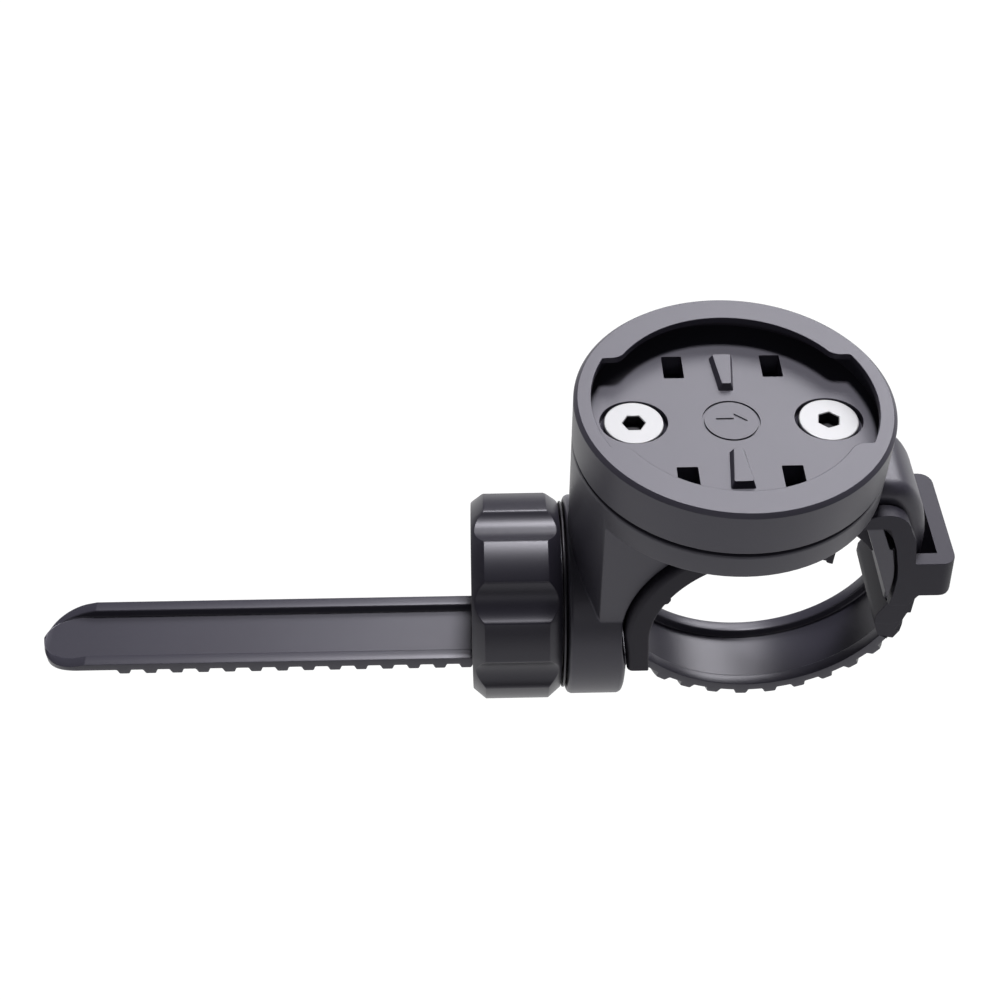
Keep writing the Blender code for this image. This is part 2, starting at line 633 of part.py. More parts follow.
def base_bracket():
    bracket = turned(
        "base_bracket",
        [
            (0.0, BASE_TOP),
            (CUP_RADIUS - BASE_EDGE, BASE_TOP),
            (CUP_RADIUS, BASE_TOP - BASE_EDGE),
            (CUP_RADIUS, SLAB_BOTTOM),
            (0.0, SLAB_BOTTOM),
        ],
        (CUP_OFFSET, 0.0, 0.0),
        steps=96,
    )
    far = 2.0 * CUP_RADIUS
    for side in (-1, 1):
        ys = sorted((side * SLAB_HALF_WIDTH, side * far))
        combine(bracket, block("flank", (-far, ys[0], -far), (far, ys[1], BASE_BOTTOM)), "DIFFERENCE")
    combine(bracket, block("slab_end", (SLAB_END, -far, -far), (far, far, BASE_BOTTOM)), "DIFFERENCE")
    combine(bracket, arm_solid(), "UNION")
    edge = BOSS_EDGE
    boss = turned(
        "boss",
        [
            (0.0, BOSS_FACE),
            (BOSS_RADIUS - edge, BOSS_FACE),
            (BOSS_RADIUS - 0.3 * edge, BOSS_FACE - 0.3 * edge),
            (BOSS_RADIUS, BOSS_FACE - edge),
            (BOSS_RADIUS, BOSS_BACK + edge),
            (BOSS_RADIUS - 0.3 * edge, BOSS_BACK + 0.3 * edge),
            (BOSS_RADIUS - edge, BOSS_BACK),
            (CORE_RADIUS, BOSS_BACK),
            (CORE_RADIUS, CORE_END),
            (0.0, CORE_END),
        ],
        (0.0, 0.0, KNOB_AXIS[1]),
        ALONG_X,
        steps=80,
    )
    combine(bracket, boss, "UNION")
    saddle = turned(
        "saddle",
        [(0.0, far), (SADDLE_RADIUS, far), (SADDLE_RADIUS, -far), (0.0, -far)],
        rotation=UPRIGHT,
        steps=96,
    )
    combine(saddle, prism("foot_keep", foot_outline(), 2.0 * far), "DIFFERENCE")
    combine(bracket, saddle, "DIFFERENCE")
    inner = PAD_RADIUS + TOUCH_GAP
    foot_round = turned(
        "foot_round",
        [(0.0, far), (inner, far), (inner, -far), (0.0, -far)],
        rotation=UPRIGHT,
        steps=80,
    )
    combine(bracket, foot_round, "DIFFERENCE")
    for side in (-1, 1):
        low, high = sorted((side * (ARM_HALF_WIDTH - LUG_ROOT), side * LUG_HALF_WIDTH))
        lug = prism("lug", lug_outline(), (high - low) / 2.0, (0.0, (low + high) / 2.0, 0.0))
        combine(bracket, lug, "UNION")
    slot = prism(
        "strap_slot",
        slot_outline(TOUCH_GAP, 0.0),
        KNOB_LENGTH + BOSS_LENGTH,
        (BOSS_BACK, 0.0, KNOB_AXIS[1]),
        CROSSWISE,
    )
    combine(bracket, slot, "DIFFERENCE")
    for side in (-1, 1):
        x = CUP_OFFSET + side * SCREW_OFFSET
        bottom = INSERT_BOTTOM - TOUCH_GAP
        radius = INSERT_RADIUS + TOUCH_GAP
        pocket = turned(
            "insert_pocket",
            [(0.0, BASE_TOP + MM), (radius, BASE_TOP + MM), (radius, bottom), (0.0, bottom)],
            (x, 0.0, 0.0),
            steps=24,
        )
        combine(bracket, pocket, "DIFFERENCE")
    combine(bracket, cap_screw_space(), "DIFFERENCE")
    return as_part(smooth(bracket), finish("graphite_bracket", GRAPHITE, 0.42, 0.0))


def cap_screw_space():
    """Seat and blind hole for the screw in the core's end."""
    slack = TOUCH_GAP
    cone_end = CAP_LEFT + (CAP_SCREW_HEAD_RADIUS - CAP_SCREW_SHANK_RADIUS)
    head = CAP_SCREW_HEAD_RADIUS + slack * math.sqrt(2.0)
    hole = CAP_SCREW_SHANK_RADIUS + slack
    deep = CAP_LEFT + CAP_SCREW_LENGTH + slack
    return turned(
        "cap_screw_space",
        [
            (0.0, deep),
            (hole, deep),
            (hole, cone_end + slack),
            (head, cone_end + slack - (head - hole)),
            (head, CAP_LEFT - MM),
            (0.0, CAP_LEFT - MM),
        ],
        (0.0, 0.0, KNOB_AXIS[1]),
        ALONG_X,
        steps=24,
    )


def core_cap():
    """The disc that keeps the knob on its core, with a window for the strap."""
    right = CAP_LEFT + CAP_THICKNESS
    cap = turned(
        "core_cap",
        [(0.0, right), (CAP_RADIUS, right), (CAP_RADIUS, CAP_LEFT), (0.0, CAP_LEFT)],
        (0.0, 0.0, KNOB_AXIS[1]),
        ALONG_X,
        steps=64,
    )
    window = prism(
        "cap_window",
        slot_outline(TOUCH_GAP, -0.05 * MM),
        CAP_RADIUS,
        (CAP_LEFT, 0.0, KNOB_AXIS[1]),
        CROSSWISE,
    )
    combine(cap, window, "DIFFERENCE")
    combine(cap, cap_screw_space(), "DIFFERENCE")
    return as_part(smooth(cap), finish("nylon_cap", NYLON, 0.5, 0.0))


def cap_screw():
    cone = CAP_SCREW_HEAD_RADIUS - CAP_SCREW_SHANK_RADIUS
    end = CAP_LEFT + CAP_SCREW_LENGTH
    screw = turned(
        "cap_screw",
        [
            (0.0, end),
            (CAP_SCREW_SHANK_RADIUS - SCREW_POINT, end),
            (CAP_SCREW_SHANK_RADIUS, end - SCREW_POINT),
            (CAP_SCREW_SHANK_RADIUS, CAP_LEFT + cone),
            (CAP_SCREW_HEAD_RADIUS, CAP_LEFT),
            (0.0, CAP_LEFT),
        ],
        (0.0, 0.0, KNOB_AXIS[1]),
        ALONG_X,
        steps=24,
    )
    socket = hex_tool(
        "cap_socket", CAP_SOCKET_ACROSS_FLATS, CAP_LEFT - MM, CAP_LEFT + CAP_SOCKET_DEPTH, 0.0, 0.0, "X"
    )
    combine(screw, socket, "DIFFERENCE")
    return as_part(smooth(screw), finish("steel", STEEL, 0.3, 1.0))


def thrust_washer():
    washer = turned(
        "thrust_washer",
        [
            (BORE_RADIUS, WASHER_X + WASHER_THICKNESS),
            (WASHER_RADIUS, WASHER_X + WASHER_THICKNESS),
            (WASHER_RADIUS, WASHER_X),
            (BORE_RADIUS, WASHER_X),
        ],
        (0.0, 0.0, KNOB_AXIS[1]),
        ALONG_X,
        steps=48,
        ring=True,
    )
    return as_part(smooth(washer), finish("nylon_washer", NYLON, 0.4, 0.0))


def fluted_outline():
    """Circle with round flutes, one of them on top."""
    centre = KNOB_RADIUS - FLUTE_DEPTH + FLUTE_RADIUS
    cos_half = (centre ** 2 + KNOB_RADIUS ** 2 - FLUTE_RADIUS ** 2) / (2.0 * centre * KNOB_RADIUS)
    half = math.degrees(math.acos(cos_half))
    open_half = math.degrees(math.asin(KNOB_RADIUS * math.sin(math.radians(half)) / FLUTE_RADIUS))
    step = 360.0 / FLUTE_COUNT
    points = []
    for index in range(FLUTE_COUNT):
        middle = 90.0 + index * step
        at = (centre * math.cos(math.radians(middle)), centre * math.sin(math.radians(middle)))
        points += arc(at, FLUTE_RADIUS, middle + 180.0 + open_half, middle + 180.0 - open_half, 9)
        points += arc((0.0, 0.0), KNOB_RADIUS, middle + half, middle + step - half, 5)[1:-1]
    return points


def adjuster_knob():
    """The fluted ring that turns on the core, with its origin on the turning axis."""
    place = (KNOB_RIGHT, 0.0, KNOB_AXIS[1])
    knob = prism("adjuster_knob", fluted_outline(), KNOB_LENGTH, place, CROSSWISE)
    counterbore = CAP_RADIUS + TOUCH_GAP
    floor = CAP_THICKNESS + CAP_INSET + SEAT_GAP - KNOB_LENGTH
    slope = KNOB_RADIUS - KNOB_CHAMFER_DEPTH
    body = turned(
        "knob_body",
        [
            (BORE_RADIUS, 0.0),
            (slope, 0.0),
            (KNOB_RADIUS, -KNOB_CHAMFER_LENGTH),
            (KNOB_RADIUS + MM, -KNOB_CHAMFER_LENGTH),
            (KNOB_RADIUS + MM, KNOB_CHAMFER_LENGTH - KNOB_LENGTH),
            (KNOB_RADIUS, KNOB_CHAMFER_LENGTH - KNOB_LENGTH),
            (slope, -KNOB_LENGTH),
            (counterbore, -KNOB_LENGTH),
            (counterbore, floor),
            (BORE_RADIUS, floor),
        ],
        place,
        ALONG_X,
        steps=64,
        ring=True,
    )
    combine(knob, body, "INTERSECT")
    return as_part(smooth(knob), finish("graphite_knob", GRAPHITE, 0.38, 0.0))


def strap_bend():
    """Where the reversed bend starts, and the angle on the loop where it ends, in degrees."""
    rise = RAIL_Z - BEND_RADIUS
    start = -math.sqrt((LOOP_RADIUS + BEND_RADIUS) ** 2 - rise ** 2)
    return start, math.degrees(math.atan2(rise, start)) % 360.0


def bend_length():
    bend_start, _ = strap_bend()
    return BEND_RADIUS * math.atan2(-bend_start, -(RAIL_Z - BEND_RADIUS))


def strap_place(distance):
    """Point, and the direction that the rails face, at a distance from the tip."""
    bend_start, loop_start = strap_bend()
    straight = bend_start - STRAP_TIP
    if distance <= straight:
        return (STRAP_TIP + distance, RAIL_Z), (0.0, 1.0)
    along = distance - straight
    if along <= bend_length():
        angle = along / BEND_RADIUS
        facing = (math.sin(angle), math.cos(angle))
        centre = (bend_start, RAIL_Z - BEND_RADIUS)
        return (centre[0] + BEND_RADIUS * facing[0], centre[1] + BEND_RADIUS * facing[1]), facing
    angle = math.radians(loop_start) + (along - bend_length()) / LOOP_RADIUS
    outward = (math.cos(angle), math.sin(angle))
    return (LOOP_RADIUS * outward[0], LOOP_RADIUS * outward[1]), (-outward[0], -outward[1])


def loop_distance(angle):
    """Distance from the tip to an angle on the loop, in degrees."""
    bend_start, loop_start = strap_bend()
    return bend_start - STRAP_TIP + bend_length() + LOOP_RADIUS * math.radians(angle - loop_start)


def strap_section(distance, tooth):
    """(across, depth) points of the strap at a distance from its tip, depth from the rail tops."""
    half = STRAP_HALF_WIDTH
    if distance < half:
        half = math.sqrt(max(half ** 2 - (half - distance) ** 2, 0.0))
    fade = (distance - RAIL_FADE_START) / (RAIL_FADE_END - RAIL_FADE_START)
    fade = min(max(fade, 0.0), 1.0)
    rail_top = RAIL_HEIGHT * (1.0 - fade)
    channel = max(half - RAIL_WIDTH, half / 2.0)
    edge = min(RAIL_EDGE, half / 5.0)
    draft = min(RAIL_DRAFT, half / 5.0)
    radius = CORE_RADIUS if tooth else TOOTH_ROOT_RADIUS
    right = [
        (channel - draft, RAIL_HEIGHT),
        (channel, rail_top),
        (half - edge, rail_top),
        (half, rail_top + edge),
    ]
    points = [(-across, depth) for across, depth in reversed(right)] + right
    for across in np.linspace(half, -half, 9):
        points.append((across, math.sqrt(radius ** 2 - across ** 2) - RAIL_DROP))
    return points


def tooth_middles():
    """Distances of the teeth's middles from the tip: the tail's, the bend's and the loop's."""
    bend_start, loop_start = strap_bend()
    tail = np.arange(FIRST_TOOTH, bend_start - STRAP_TIP - TOOTH_PITCH / 2.0, TOOTH_PITCH)
    before = math.floor((LOOP_TOOTH_ANGLE - loop_start) / LOOP_TOOTH_STEP)
    first = LOOP_TOOTH_ANGLE - before * LOOP_TOOTH_STEP
    loop = [loop_distance(a) for a in np.arange(first, 360.0 + RAMP_ANGLE + LOOP_TOOTH_STEP, LOOP_TOOTH_STEP)]
    between = max(round((loop[0] - tail[-1]) / TOOTH_PITCH), 1)
    bend = np.linspace(tail[-1], loop[0], between + 1)[1:-1]
    return list(tail) + list(bend) + loop


def strap_stations():
    """(distance, on a tooth) pairs along the strap, four to a tooth and more on the curves."""
    half = STRAP_HALF_WIDTH
    stations = [(half * (1.0 - math.cos(math.radians(a))), False) for a in (12, 28, 45, 62, 78)]
    stations.append((RAIL_FADE_END, False))
    for middle in tooth_middles():
        stations += [
            (middle - TOOTH_BASE / 2.0, False),
            (middle - TOOTH_TIP / 2.0, True),
            (middle + TOOTH_TIP / 2.0, True),
            (middle + TOOTH_BASE / 2.0, False),
        ]
    stations.append((loop_distance(360.0 + LOOP_END_ANGLE), False))
    return sorted(stations)


def strap_band():
    """The strap without its frame, lofted through its cross-sections."""
    bm = bmesh.new()
    rings = []
    for distance, tooth in strap_stations():
        (x, z), facing = strap_place(distance)
        ring = []
        for across, depth in strap_section(distance, tooth):
            ring.append(bm.verts.new((x - facing[0] * depth, across, z - facing[1] * depth)))
        rings.append(ring)
    count = len(rings[0])
    for first, second in zip(rings, rings[1:]):
        for index in range(count):
            after = (index + 1) % count
            bm.faces.new((first[index], first[after], second[after], second[index]))
    bm.faces.new(rings[0])
    bm.faces.new(list(reversed(rings[-1])))
    bmesh.ops.recalc_face_normals(bm, faces=bm.faces)
    mesh = bpy.data.meshes.new("toothed_strap")
    bm.to_mesh(mesh)
    bm.free()
    return tool("toothed_strap", mesh)


def ear_outline():
    """Side view of the strap's end: the frame, and above it the ear with its hook."""
    edge = FRAME_OUTER + FRAME_LEAN + FRAME_TRIM
    corner = (edge - FRAME_LOWER_CORNER, FRAME_BOTTOM + FRAME_LOWER_CORNER)
    hook = math.degrees(math.asin((HOOK_UNDERSIDE - EAR_CENTRE[1]) / EAR_RADIUS))
    points = arc(corner, FRAME_LOWER_CORNER, 270.0, 360.0, 5)
    points += [(edge, FRAME_TOP)] + from_shoulder(EAR_BACK)
    points += from_shoulder(arc(EAR_CENTRE, EAR_RADIUS, EAR_START_ANGLE, 180.0 - hook, 12))
    return points + from_shoulder(WINDOW) + from_shoulder(EAR_FOOT)


def frame_plan():
    """Tool with the top view of the strap's end: rounded corners and a face that leans out."""
    centre = (FRAME_OUTER - FRAME_CORNER, FRAME_HALF_WIDTH - FRAME_CORNER)
    upper = arc(centre, FRAME_CORNER, 0.0, 90.0, 6) + [(0.0, FRAME_HALF_WIDTH)]
    outline = upper + [(x, -y) for x, y in reversed(upper)]
    plan = prism("frame_plan", outline, CUP_RADIUS, rotation=(0.0, 0.0, 0.0))
    for vert in plan.data.vertices:
        vert.co.x += (FRAME_TOP - vert.co.z) * FRAME_LEAN / FRAME_HEIGHT
    return plan


def pad_outline():
    """The thick pad under the arm's foot, which leads from the frame to the strap."""
    inner = [(PAD_RADIUS + x, z) for x, z in PAD_INNER]
    outer = [(WEB_INNER + x, z) for x, z in PAD_STEP]
    return [(PAD_MOUTH, PAD_TOP)] + inner + outer + [(WEB_INNER, PAD_TOP)]


def ramp_outline():
    """The narrower part behind the pad: a ramp down to the strap and a web up to the frame."""
    start = math.degrees(math.asin(PAD_TOP / PAD_RADIUS))
    points = [(WEB_INNER + PAD_STEP[0][0], PAD_TOP - FRAME_BAR), (PAD_RADIUS + PAD_INNER[1][0], PAD_INNER[1][1])]
    points += arc((0.0, 0.0), LOOP_RADIUS - RAMP_DEPTH, RAMP_ANGLE, RAMP_ANGLE, 1)
    points += arc((0.0, 0.0), LOOP_RADIUS + PAD_BACK, RAMP_ANGLE, start, 6)
    return points + [(FRAME_OUTER + x, z) for x, z in WEB] + [(WEB_INNER, PAD_TOP)]


def cheek_outline():
    """The thin wall that joins each side plate's foot to the pad."""
    low = ARM_FOOT - FRAME_BAR
    return [(PAD_MOUTH, low), (WEB_INNER, low), (WEB_INNER, FRAME_BOTTOM), (PAD_MOUTH, FRAME_BOTTOM)]


def toothed_strap():
    strap = strap_band()
    combine(strap, prism("ramp", ramp_outline(), STRAP_HALF_WIDTH), "UNION")
    combine(strap, prism("pad", pad_outline(), PAD_HALF_WIDTH), "UNION")
    end = prism("end_frame", ear_outline(), FRAME_HALF_WIDTH)
    combine(end, frame_plan(), "INTERSECT")
    inner = FRAME_INNER_HALF_WIDTH
    gap = block("frame_inside", (0.0, -inner, -CUP_RADIUS), (FRAME_OUTER - FRAME_BAR, inner, CUP_RADIUS))
    combine(end, gap, "DIFFERENCE")
    combine(strap, end, "UNION")
    half = (PAD_HALF_WIDTH - inner) / 2.0
    for side in (-1, 1):
        cheek = prism("cheek", cheek_outline(), half, (0.0, side * (inner + half), 0.0))
        combine(strap, cheek, "UNION")
    return as_part(smooth(strap), finish("graphite_strap", GRAPHITE_STRAP, 0.35, 0.0))


def liner_outline():
    """The rubber liner from its straight tail, over the bar, to its end beside the arm."""
    tail = -LINER_TAIL_LENGTH
    angles = [180.0]
    radii = [LINER_INNER]
    half = LINER_RIB_ANGLE / 2.0
    for rib, after in zip(LINER_RIBS, LINER_RIBS[1:] + (LINER_END_ANGLE,)):
        top = LINER_INNER - LINER_RIB_HEIGHT
        angles += [rib + half, rib + half - LINER_RIB_FLANK, rib - half + LINER_RIB_FLANK, rib - half]
        radii += [LINER_INNER, top, top, LINER_INNER]
        between = np.linspace(rib - half, after + half, 12)[1:-1]
        angles += list(between)
        radii += [LINER_INNER] * len(between)
    angles.append(LINER_END_ANGLE)
    radii.append(LINER_INNER)
    points = [(BOSS_FACE + LINER_TAIL_GAP, tail), (LINER_TAIL_LEAN - LINER_INNER, tail)]
    for angle, radius in zip(np.radians(angles), radii):
        points.append((radius * math.cos(angle), radius * math.sin(angle)))
    return points + arc((0.0, 0.0), LINER_OUTER, LINER_END_ANGLE, 180.0, 34)


def saddle_liner():
    liner = prism("saddle_liner", liner_outline(), LINER_HALF_WIDTH)
    for side in (-1, 1):
        ys = sorted((side * (ARM_HALF_WIDTH - LUG_ROOT - TOUCH_GAP), side * CUP_RADIUS))
        trim = block("liner_trim", (LINER_REACH, ys[0], 0.0), (CUP_RADIUS, ys[1], CUP_RADIUS))
        combine(liner, trim, "DIFFERENCE")
    return as_part(smooth(liner), finish("rubber", RUBBER, 0.7, 0.0))


def main():
    clear_scene()
    receiver_cup()
    base_bracket()
    for side_name, side in (("left", -1), ("right", 1)):
        cup_screw(side_name, side)
        threaded_insert(side_name, side)
    adjuster_knob()
    thrust_washer()
    core_cap()
    cap_screw()
    toothed_strap()
    saddle_liner()


main()
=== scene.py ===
"""Fine surfaces, finishes and studio for a handlebar mount that carries a bicycle computer.

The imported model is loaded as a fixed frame.  Each sub-assembly then builds its surfaces in the
frame's own axes: the origin is the centre of the handlebar, +X points from the knob to the arm,
+Y runs along the handlebar and +Z points up through the cup.  All sizes are in metres.
"""
import logging
import math
from collections.abc import Sequence
from dataclasses import dataclass, field, replace
from enum import Enum
from functools import cache

import bmesh
import bpy
import numpy as np
from mathutils import Matrix, Vector


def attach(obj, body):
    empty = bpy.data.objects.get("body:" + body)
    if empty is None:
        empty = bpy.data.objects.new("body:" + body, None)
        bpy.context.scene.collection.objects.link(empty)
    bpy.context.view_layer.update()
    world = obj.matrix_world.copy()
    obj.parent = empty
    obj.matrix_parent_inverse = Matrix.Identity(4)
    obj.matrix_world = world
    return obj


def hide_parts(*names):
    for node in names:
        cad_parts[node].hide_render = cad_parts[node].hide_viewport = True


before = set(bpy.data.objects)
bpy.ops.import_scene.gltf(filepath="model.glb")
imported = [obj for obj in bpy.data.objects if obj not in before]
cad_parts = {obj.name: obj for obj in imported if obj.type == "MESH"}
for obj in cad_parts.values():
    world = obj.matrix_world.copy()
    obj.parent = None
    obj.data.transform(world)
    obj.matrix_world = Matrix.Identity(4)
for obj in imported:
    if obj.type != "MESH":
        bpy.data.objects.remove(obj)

log = logging.getLogger("bike_computer_mount")

MM = 0.001
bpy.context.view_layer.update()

Array = np.ndarray
Colour = tuple[float, float, float]
Point = tuple[float, float, float]


class Body(Enum):
    """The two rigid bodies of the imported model."""

    MOUNT = "mount"
    KNOB = "knob"


class Slot(Enum):
    """Material slots of the record that new pieces fill."""

    CUP = "cup_plastic"
    BRACKET = "bracket_plastic"
    KNOB = "knob_plastic"
    STRAP = "strap_plastic"
    LINER = "liner_rubber"
    WASHER = "washer_plastic"
    SCREW = "screw_steel"


class Axis(Enum):
    """Direction of a turned piece's axis."""

    UP = "Z"
    ALONG_STRAP = "X"


# Numbers that pieces share


@dataclass(frozen=True)
class MountSizes:
    """Sizes that more than one piece needs, the same as in the part's source."""

    gap: float = 0.3 * MM
    seat_gap: float = 0.25 * MM
    cup_x: float = -6.3 * MM
    cup_top: float = 31.1 * MM
    cup_radius: float = 20.0 * MM
    cup_height: float = 6.7 * MM
    floor_z: float = 27.46 * MM
    screw_offset: float = 12.3 * MM
    screw_head: float = 3.75 * MM
    screw_rim: float = 0.45 * MM
    screw_shank: float = 1.95 * MM
    screw_sink: float = 0.1 * MM
    screw_length: float = 7.26 * MM
    knob_axis_z: float = -5.5 * MM
    core_radius: float = 10.75 * MM
    boss_face: float = -18.85 * MM
    knob_left: float = -39.5 * MM
    knob_right: float = -27.4 * MM
    cap_radius: float = 12.0 * MM
    cap_thickness: float = 1.1 * MM
    cap_inset: float = 0.25 * MM

    @property
    def screw_top(self) -> float:
        """Height of the flat of a cup screw's head."""
        return self.floor_z - self.screw_sink

    @property
    def cap_left(self) -> float:
        """Outer face of the core's cap."""
        return self.knob_left + self.cap_inset

    @property
    def cut_bottom(self) -> float:
        """Height well below the cup, where the tools that cut through its floor end."""
        return self.cup_top - 2.0 * self.cup_height


SIZES = MountSizes()

# Points of a new mesh, and of a copied CAD node, that are closer than this become one
WELD = 0.002 * MM
CAD_WELD = 0.004 * MM
# Faces of a copied CAD node that differ by less than this many degrees are joined
CAD_FLAT = 0.6


# Surfaces


def rounded(corners: Array, radii: Array | float, steps: int = 4, closed: bool = True) -> Array:
    """Rounds the corners of a polygon, or of a whole stack of polygons at once.

    At a corner with half opening angle h the arc of radius r touches both sides at r / tan(h)
    from the corner, and its centre lies on the bisector at r / sin(h).

    Args:
        corners: Points, shape (..., n, 2).
        radii: One radius, or one for each corner.
        steps: Points on each arc.
        closed: False keeps the first and the last point as they are.

    Returns:
        Points, shape (..., m, 2).
    """
    points = np.asarray(corners, float)
    count = points.shape[-2]
    radius = np.maximum(np.broadcast_to(np.asarray(radii, float), (count,)), 1e-9)[:, None]
    before = unit(np.roll(points, 1, axis=-2) - points)
    after = unit(np.roll(points, -1, axis=-2) - points)
    cosine = np.clip((before * after).sum(-1, keepdims=True), -1.0 + 1e-9, 1.0 - 1e-9)
    half = np.arccos(cosine) / 2.0
    centre = points + unit(before + after) * radius / np.sin(half)
    start = points + before * radius / np.tan(half) - centre
    end = points + after * radius / np.tan(half) - centre
    turn = (math.pi - 2.0 * half)[..., None, :]
    t = np.linspace(0.0, 1.0, steps)[:, None]
    weight_start = np.sin((1.0 - t) * turn) / np.sin(turn)
    weight_end = np.sin(t * turn) / np.sin(turn)
    arcs = centre[..., None, :] + weight_start * start[..., None, :] + weight_end * end[..., None, :]
    flat = arcs.reshape(points.shape[:-2] + (count * steps, 2))
    if closed:
        return flat
    middle = flat[..., steps:-steps, :]
    return np.concatenate([points[..., :1, :], middle, points[..., -1:, :]], axis=-2)


def unit(vectors: Array) -> Array:
    """Vectors made one long."""
    return vectors / np.maximum(np.linalg.norm(vectors, axis=-1, keepdims=True), 1e-12)


def polar(radius: Array | float, degrees: Array) -> Array:
    """Points (radius cos a, radius sin a), shape (n, 2)."""
    return np.stack([radius * np.cos(np.radians(degrees)), radius * np.sin(np.radians(degrees))], -1)


def full_turn(columns: int) -> Array:
    """Evenly spaced angles over one turn, in radians."""
    return np.arange(columns) * (math.tau / columns)


def soften_steps(values: Array, reach: int, wrap: bool) -> Array:
    """Rounds the corners of a stepped curve with a cosine window.

    Args:
        values: Samples along the curve.
        reach: Samples on each side that the window takes in.
        wrap: True for a curve that closes on itself.

    Returns:
        The rounded samples.
    """
    window = np.hanning(2 * reach + 3)[1:-1]
    padded = np.pad(values, reach, mode="wrap" if wrap else "edge")
    return np.convolve(padded, window / window.sum(), mode="valid")


def sections(count: int, *corners: tuple[Array | float, Array | float]) -> Array:
    """Stacks one polygon for each station of a piece.

    Args:
        count: How many stations there are.
        corners: The two coordinates of each corner, each one number or one for each station.

    Returns:
        Points, shape (count, corners, 2).
    """
    filled = [[np.broadcast_to(value, (count,)) for value in corner] for corner in corners]
    return np.array(filled).transpose(2, 0, 1)


def mesh_from_rings(name: str, rings: Array, closed_rows: bool = False) -> bpy.types.Mesh:
    """Joins closed rings of points into one skin, with flat ends or round on itself.

    Args:
        name: The mesh's name.
        rings: Points, shape (rows, columns, 3); each row is a closed ring.
        closed_rows: True joins the last ring to the first, and False closes both ends flat.

    Returns:
        The mesh, with doubles merged and its faces pointing out.
    """
    rows, columns = rings.shape[:2]
    row = np.arange(rows if closed_rows else rows - 1)[:, None]
    column = np.arange(columns)[None, :]
    below, above = row * columns, (row + 1) % rows * columns
    after = (column + 1) % columns
    quads = np.stack([below + column, below + after, above + after, above + column], axis=-1)
    faces = quads.reshape(-1, 4).tolist()
    if not closed_rows:
        faces.append(np.arange(columns)[::-1].tolist())
        faces.append((np.arange(columns) + (rows - 1) * columns).tolist())
    mesh = bpy.data.meshes.new(name)
    mesh.from_pydata(rings.reshape(-1, 3).tolist(), [], faces)
    bm = bmesh.new()
    bm.from_mesh(mesh)
    bmesh.ops.remove_doubles(bm, verts=bm.verts, dist=WELD)
    bmesh.ops.recalc_face_normals(bm, faces=bm.faces)
    bm.to_mesh(mesh)
    bm.free()
    return mesh


def revolve(
    name: str, profile: Array, centre: Point, axis: Axis, columns: int, closed: bool = False
) -> bpy.types.Mesh:
    """Turns a (radius, height) profile about an axis.

    A point at angle a is (radius cos a, radius sin a, height) in the axis's own frame.

    Args:
        name: The mesh's name.
        profile: Points, shape (rows, 2), or (rows, columns, 2) where the profile changes round
            the axis.
        centre: A point on the axis where the height is zero.
        axis: The direction of the axis.
        columns: Steps round the axis.
        closed: True joins the profile's end to its start, as on a ring.

    Returns:
        The closed mesh.
    """
    angles = full_turn(columns)
    if profile.ndim == 2:
        profile = np.repeat(profile[:, None, :], columns, axis=1)
    radius, height = profile[..., 0], profile[..., 1]
    first, second = radius * np.cos(angles), radius * np.sin(angles)
    parts = (first, second, height) if axis is Axis.UP else (height, first, second)
    return mesh_from_rings(name, np.stack(parts, -1) + centre, closed)


def extrude(name: str, outline: Array, low: float, high: float) -> bpy.types.Mesh:
    """Stands a flat outline up between two heights.

    Args:
        name: The mesh's name.
        outline: Points in X and Y, shape (n, 2).
        low: Where it starts.
        high: Where it ends.

    Returns:
        The closed mesh.
    """
    height = np.repeat([[low], [high]], len(outline), axis=1)
    flat = np.repeat(outline[None], 2, axis=0)
    return mesh_from_rings(name, np.concatenate([flat, height[..., None]], -1))


# Objects


def new_object(name: str, mesh: bpy.types.Mesh) -> bpy.types.Object:
    """Puts a mesh into the scene as an object at the origin.

    Args:
        name: The object's name.
        mesh: Its mesh.

    Returns:
        The object.
    """
    obj = bpy.data.objects.new(name, mesh)
    bpy.context.scene.collection.objects.link(obj)
    return obj


def carve(obj: bpy.types.Object, meshes: Sequence[bpy.types.Mesh], operation: str) -> None:
    """Cuts meshes out of a piece, or joins them to it, and keeps the result.

    Args:
        obj: The piece.
        meshes: Closed meshes in the frame's axes.
        operation: DIFFERENCE, UNION or INTERSECT.
    """
    tools = [new_object(mesh.name + "_tool", mesh) for mesh in meshes]
    for tool in tools:
        change = obj.modifiers.new(tool.name, "BOOLEAN")
        change.operation = operation
        change.solver = "EXACT"
        change.object = tool
    keep_modifiers(obj)
    for tool in tools:
        bpy.data.objects.remove(tool, do_unlink=True)


def keep_modifiers(obj: bpy.types.Object) -> None:
    """Writes the result of a piece's modifiers into its mesh.

    Args:
        obj: The piece.
    """
    graph = bpy.context.evaluated_depsgraph_get()
    graph.update()
    result = bpy.data.meshes.new_from_object(obj.evaluated_get(graph))
    obj.modifiers.clear()
    obj.data = result


def cad_copy(node: str, name: str) -> bpy.types.Object:
    """Copies a CAD node's loose triangles, merged into one skin with flat faces.

    Args:
        node: The node's name.
        name: The new object's name.

    Returns:
        The new object; the node stays as it is.
    """
    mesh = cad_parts[node].data.copy()
    mesh.name = name
    bm = bmesh.new()
    bm.from_mesh(mesh)
    bmesh.ops.remove_doubles(bm, verts=bm.verts, dist=CAD_WELD)
    flat = math.radians(CAD_FLAT)
    bmesh.ops.dissolve_limit(bm, angle_limit=flat, verts=bm.verts, edges=bm.edges)
    bm.to_mesh(mesh)
    bm.free()
    normals = mesh.attributes.get("custom_normal")
    if normals is not None:
        mesh.attributes.remove(normals)
    return new_object(name, mesh)


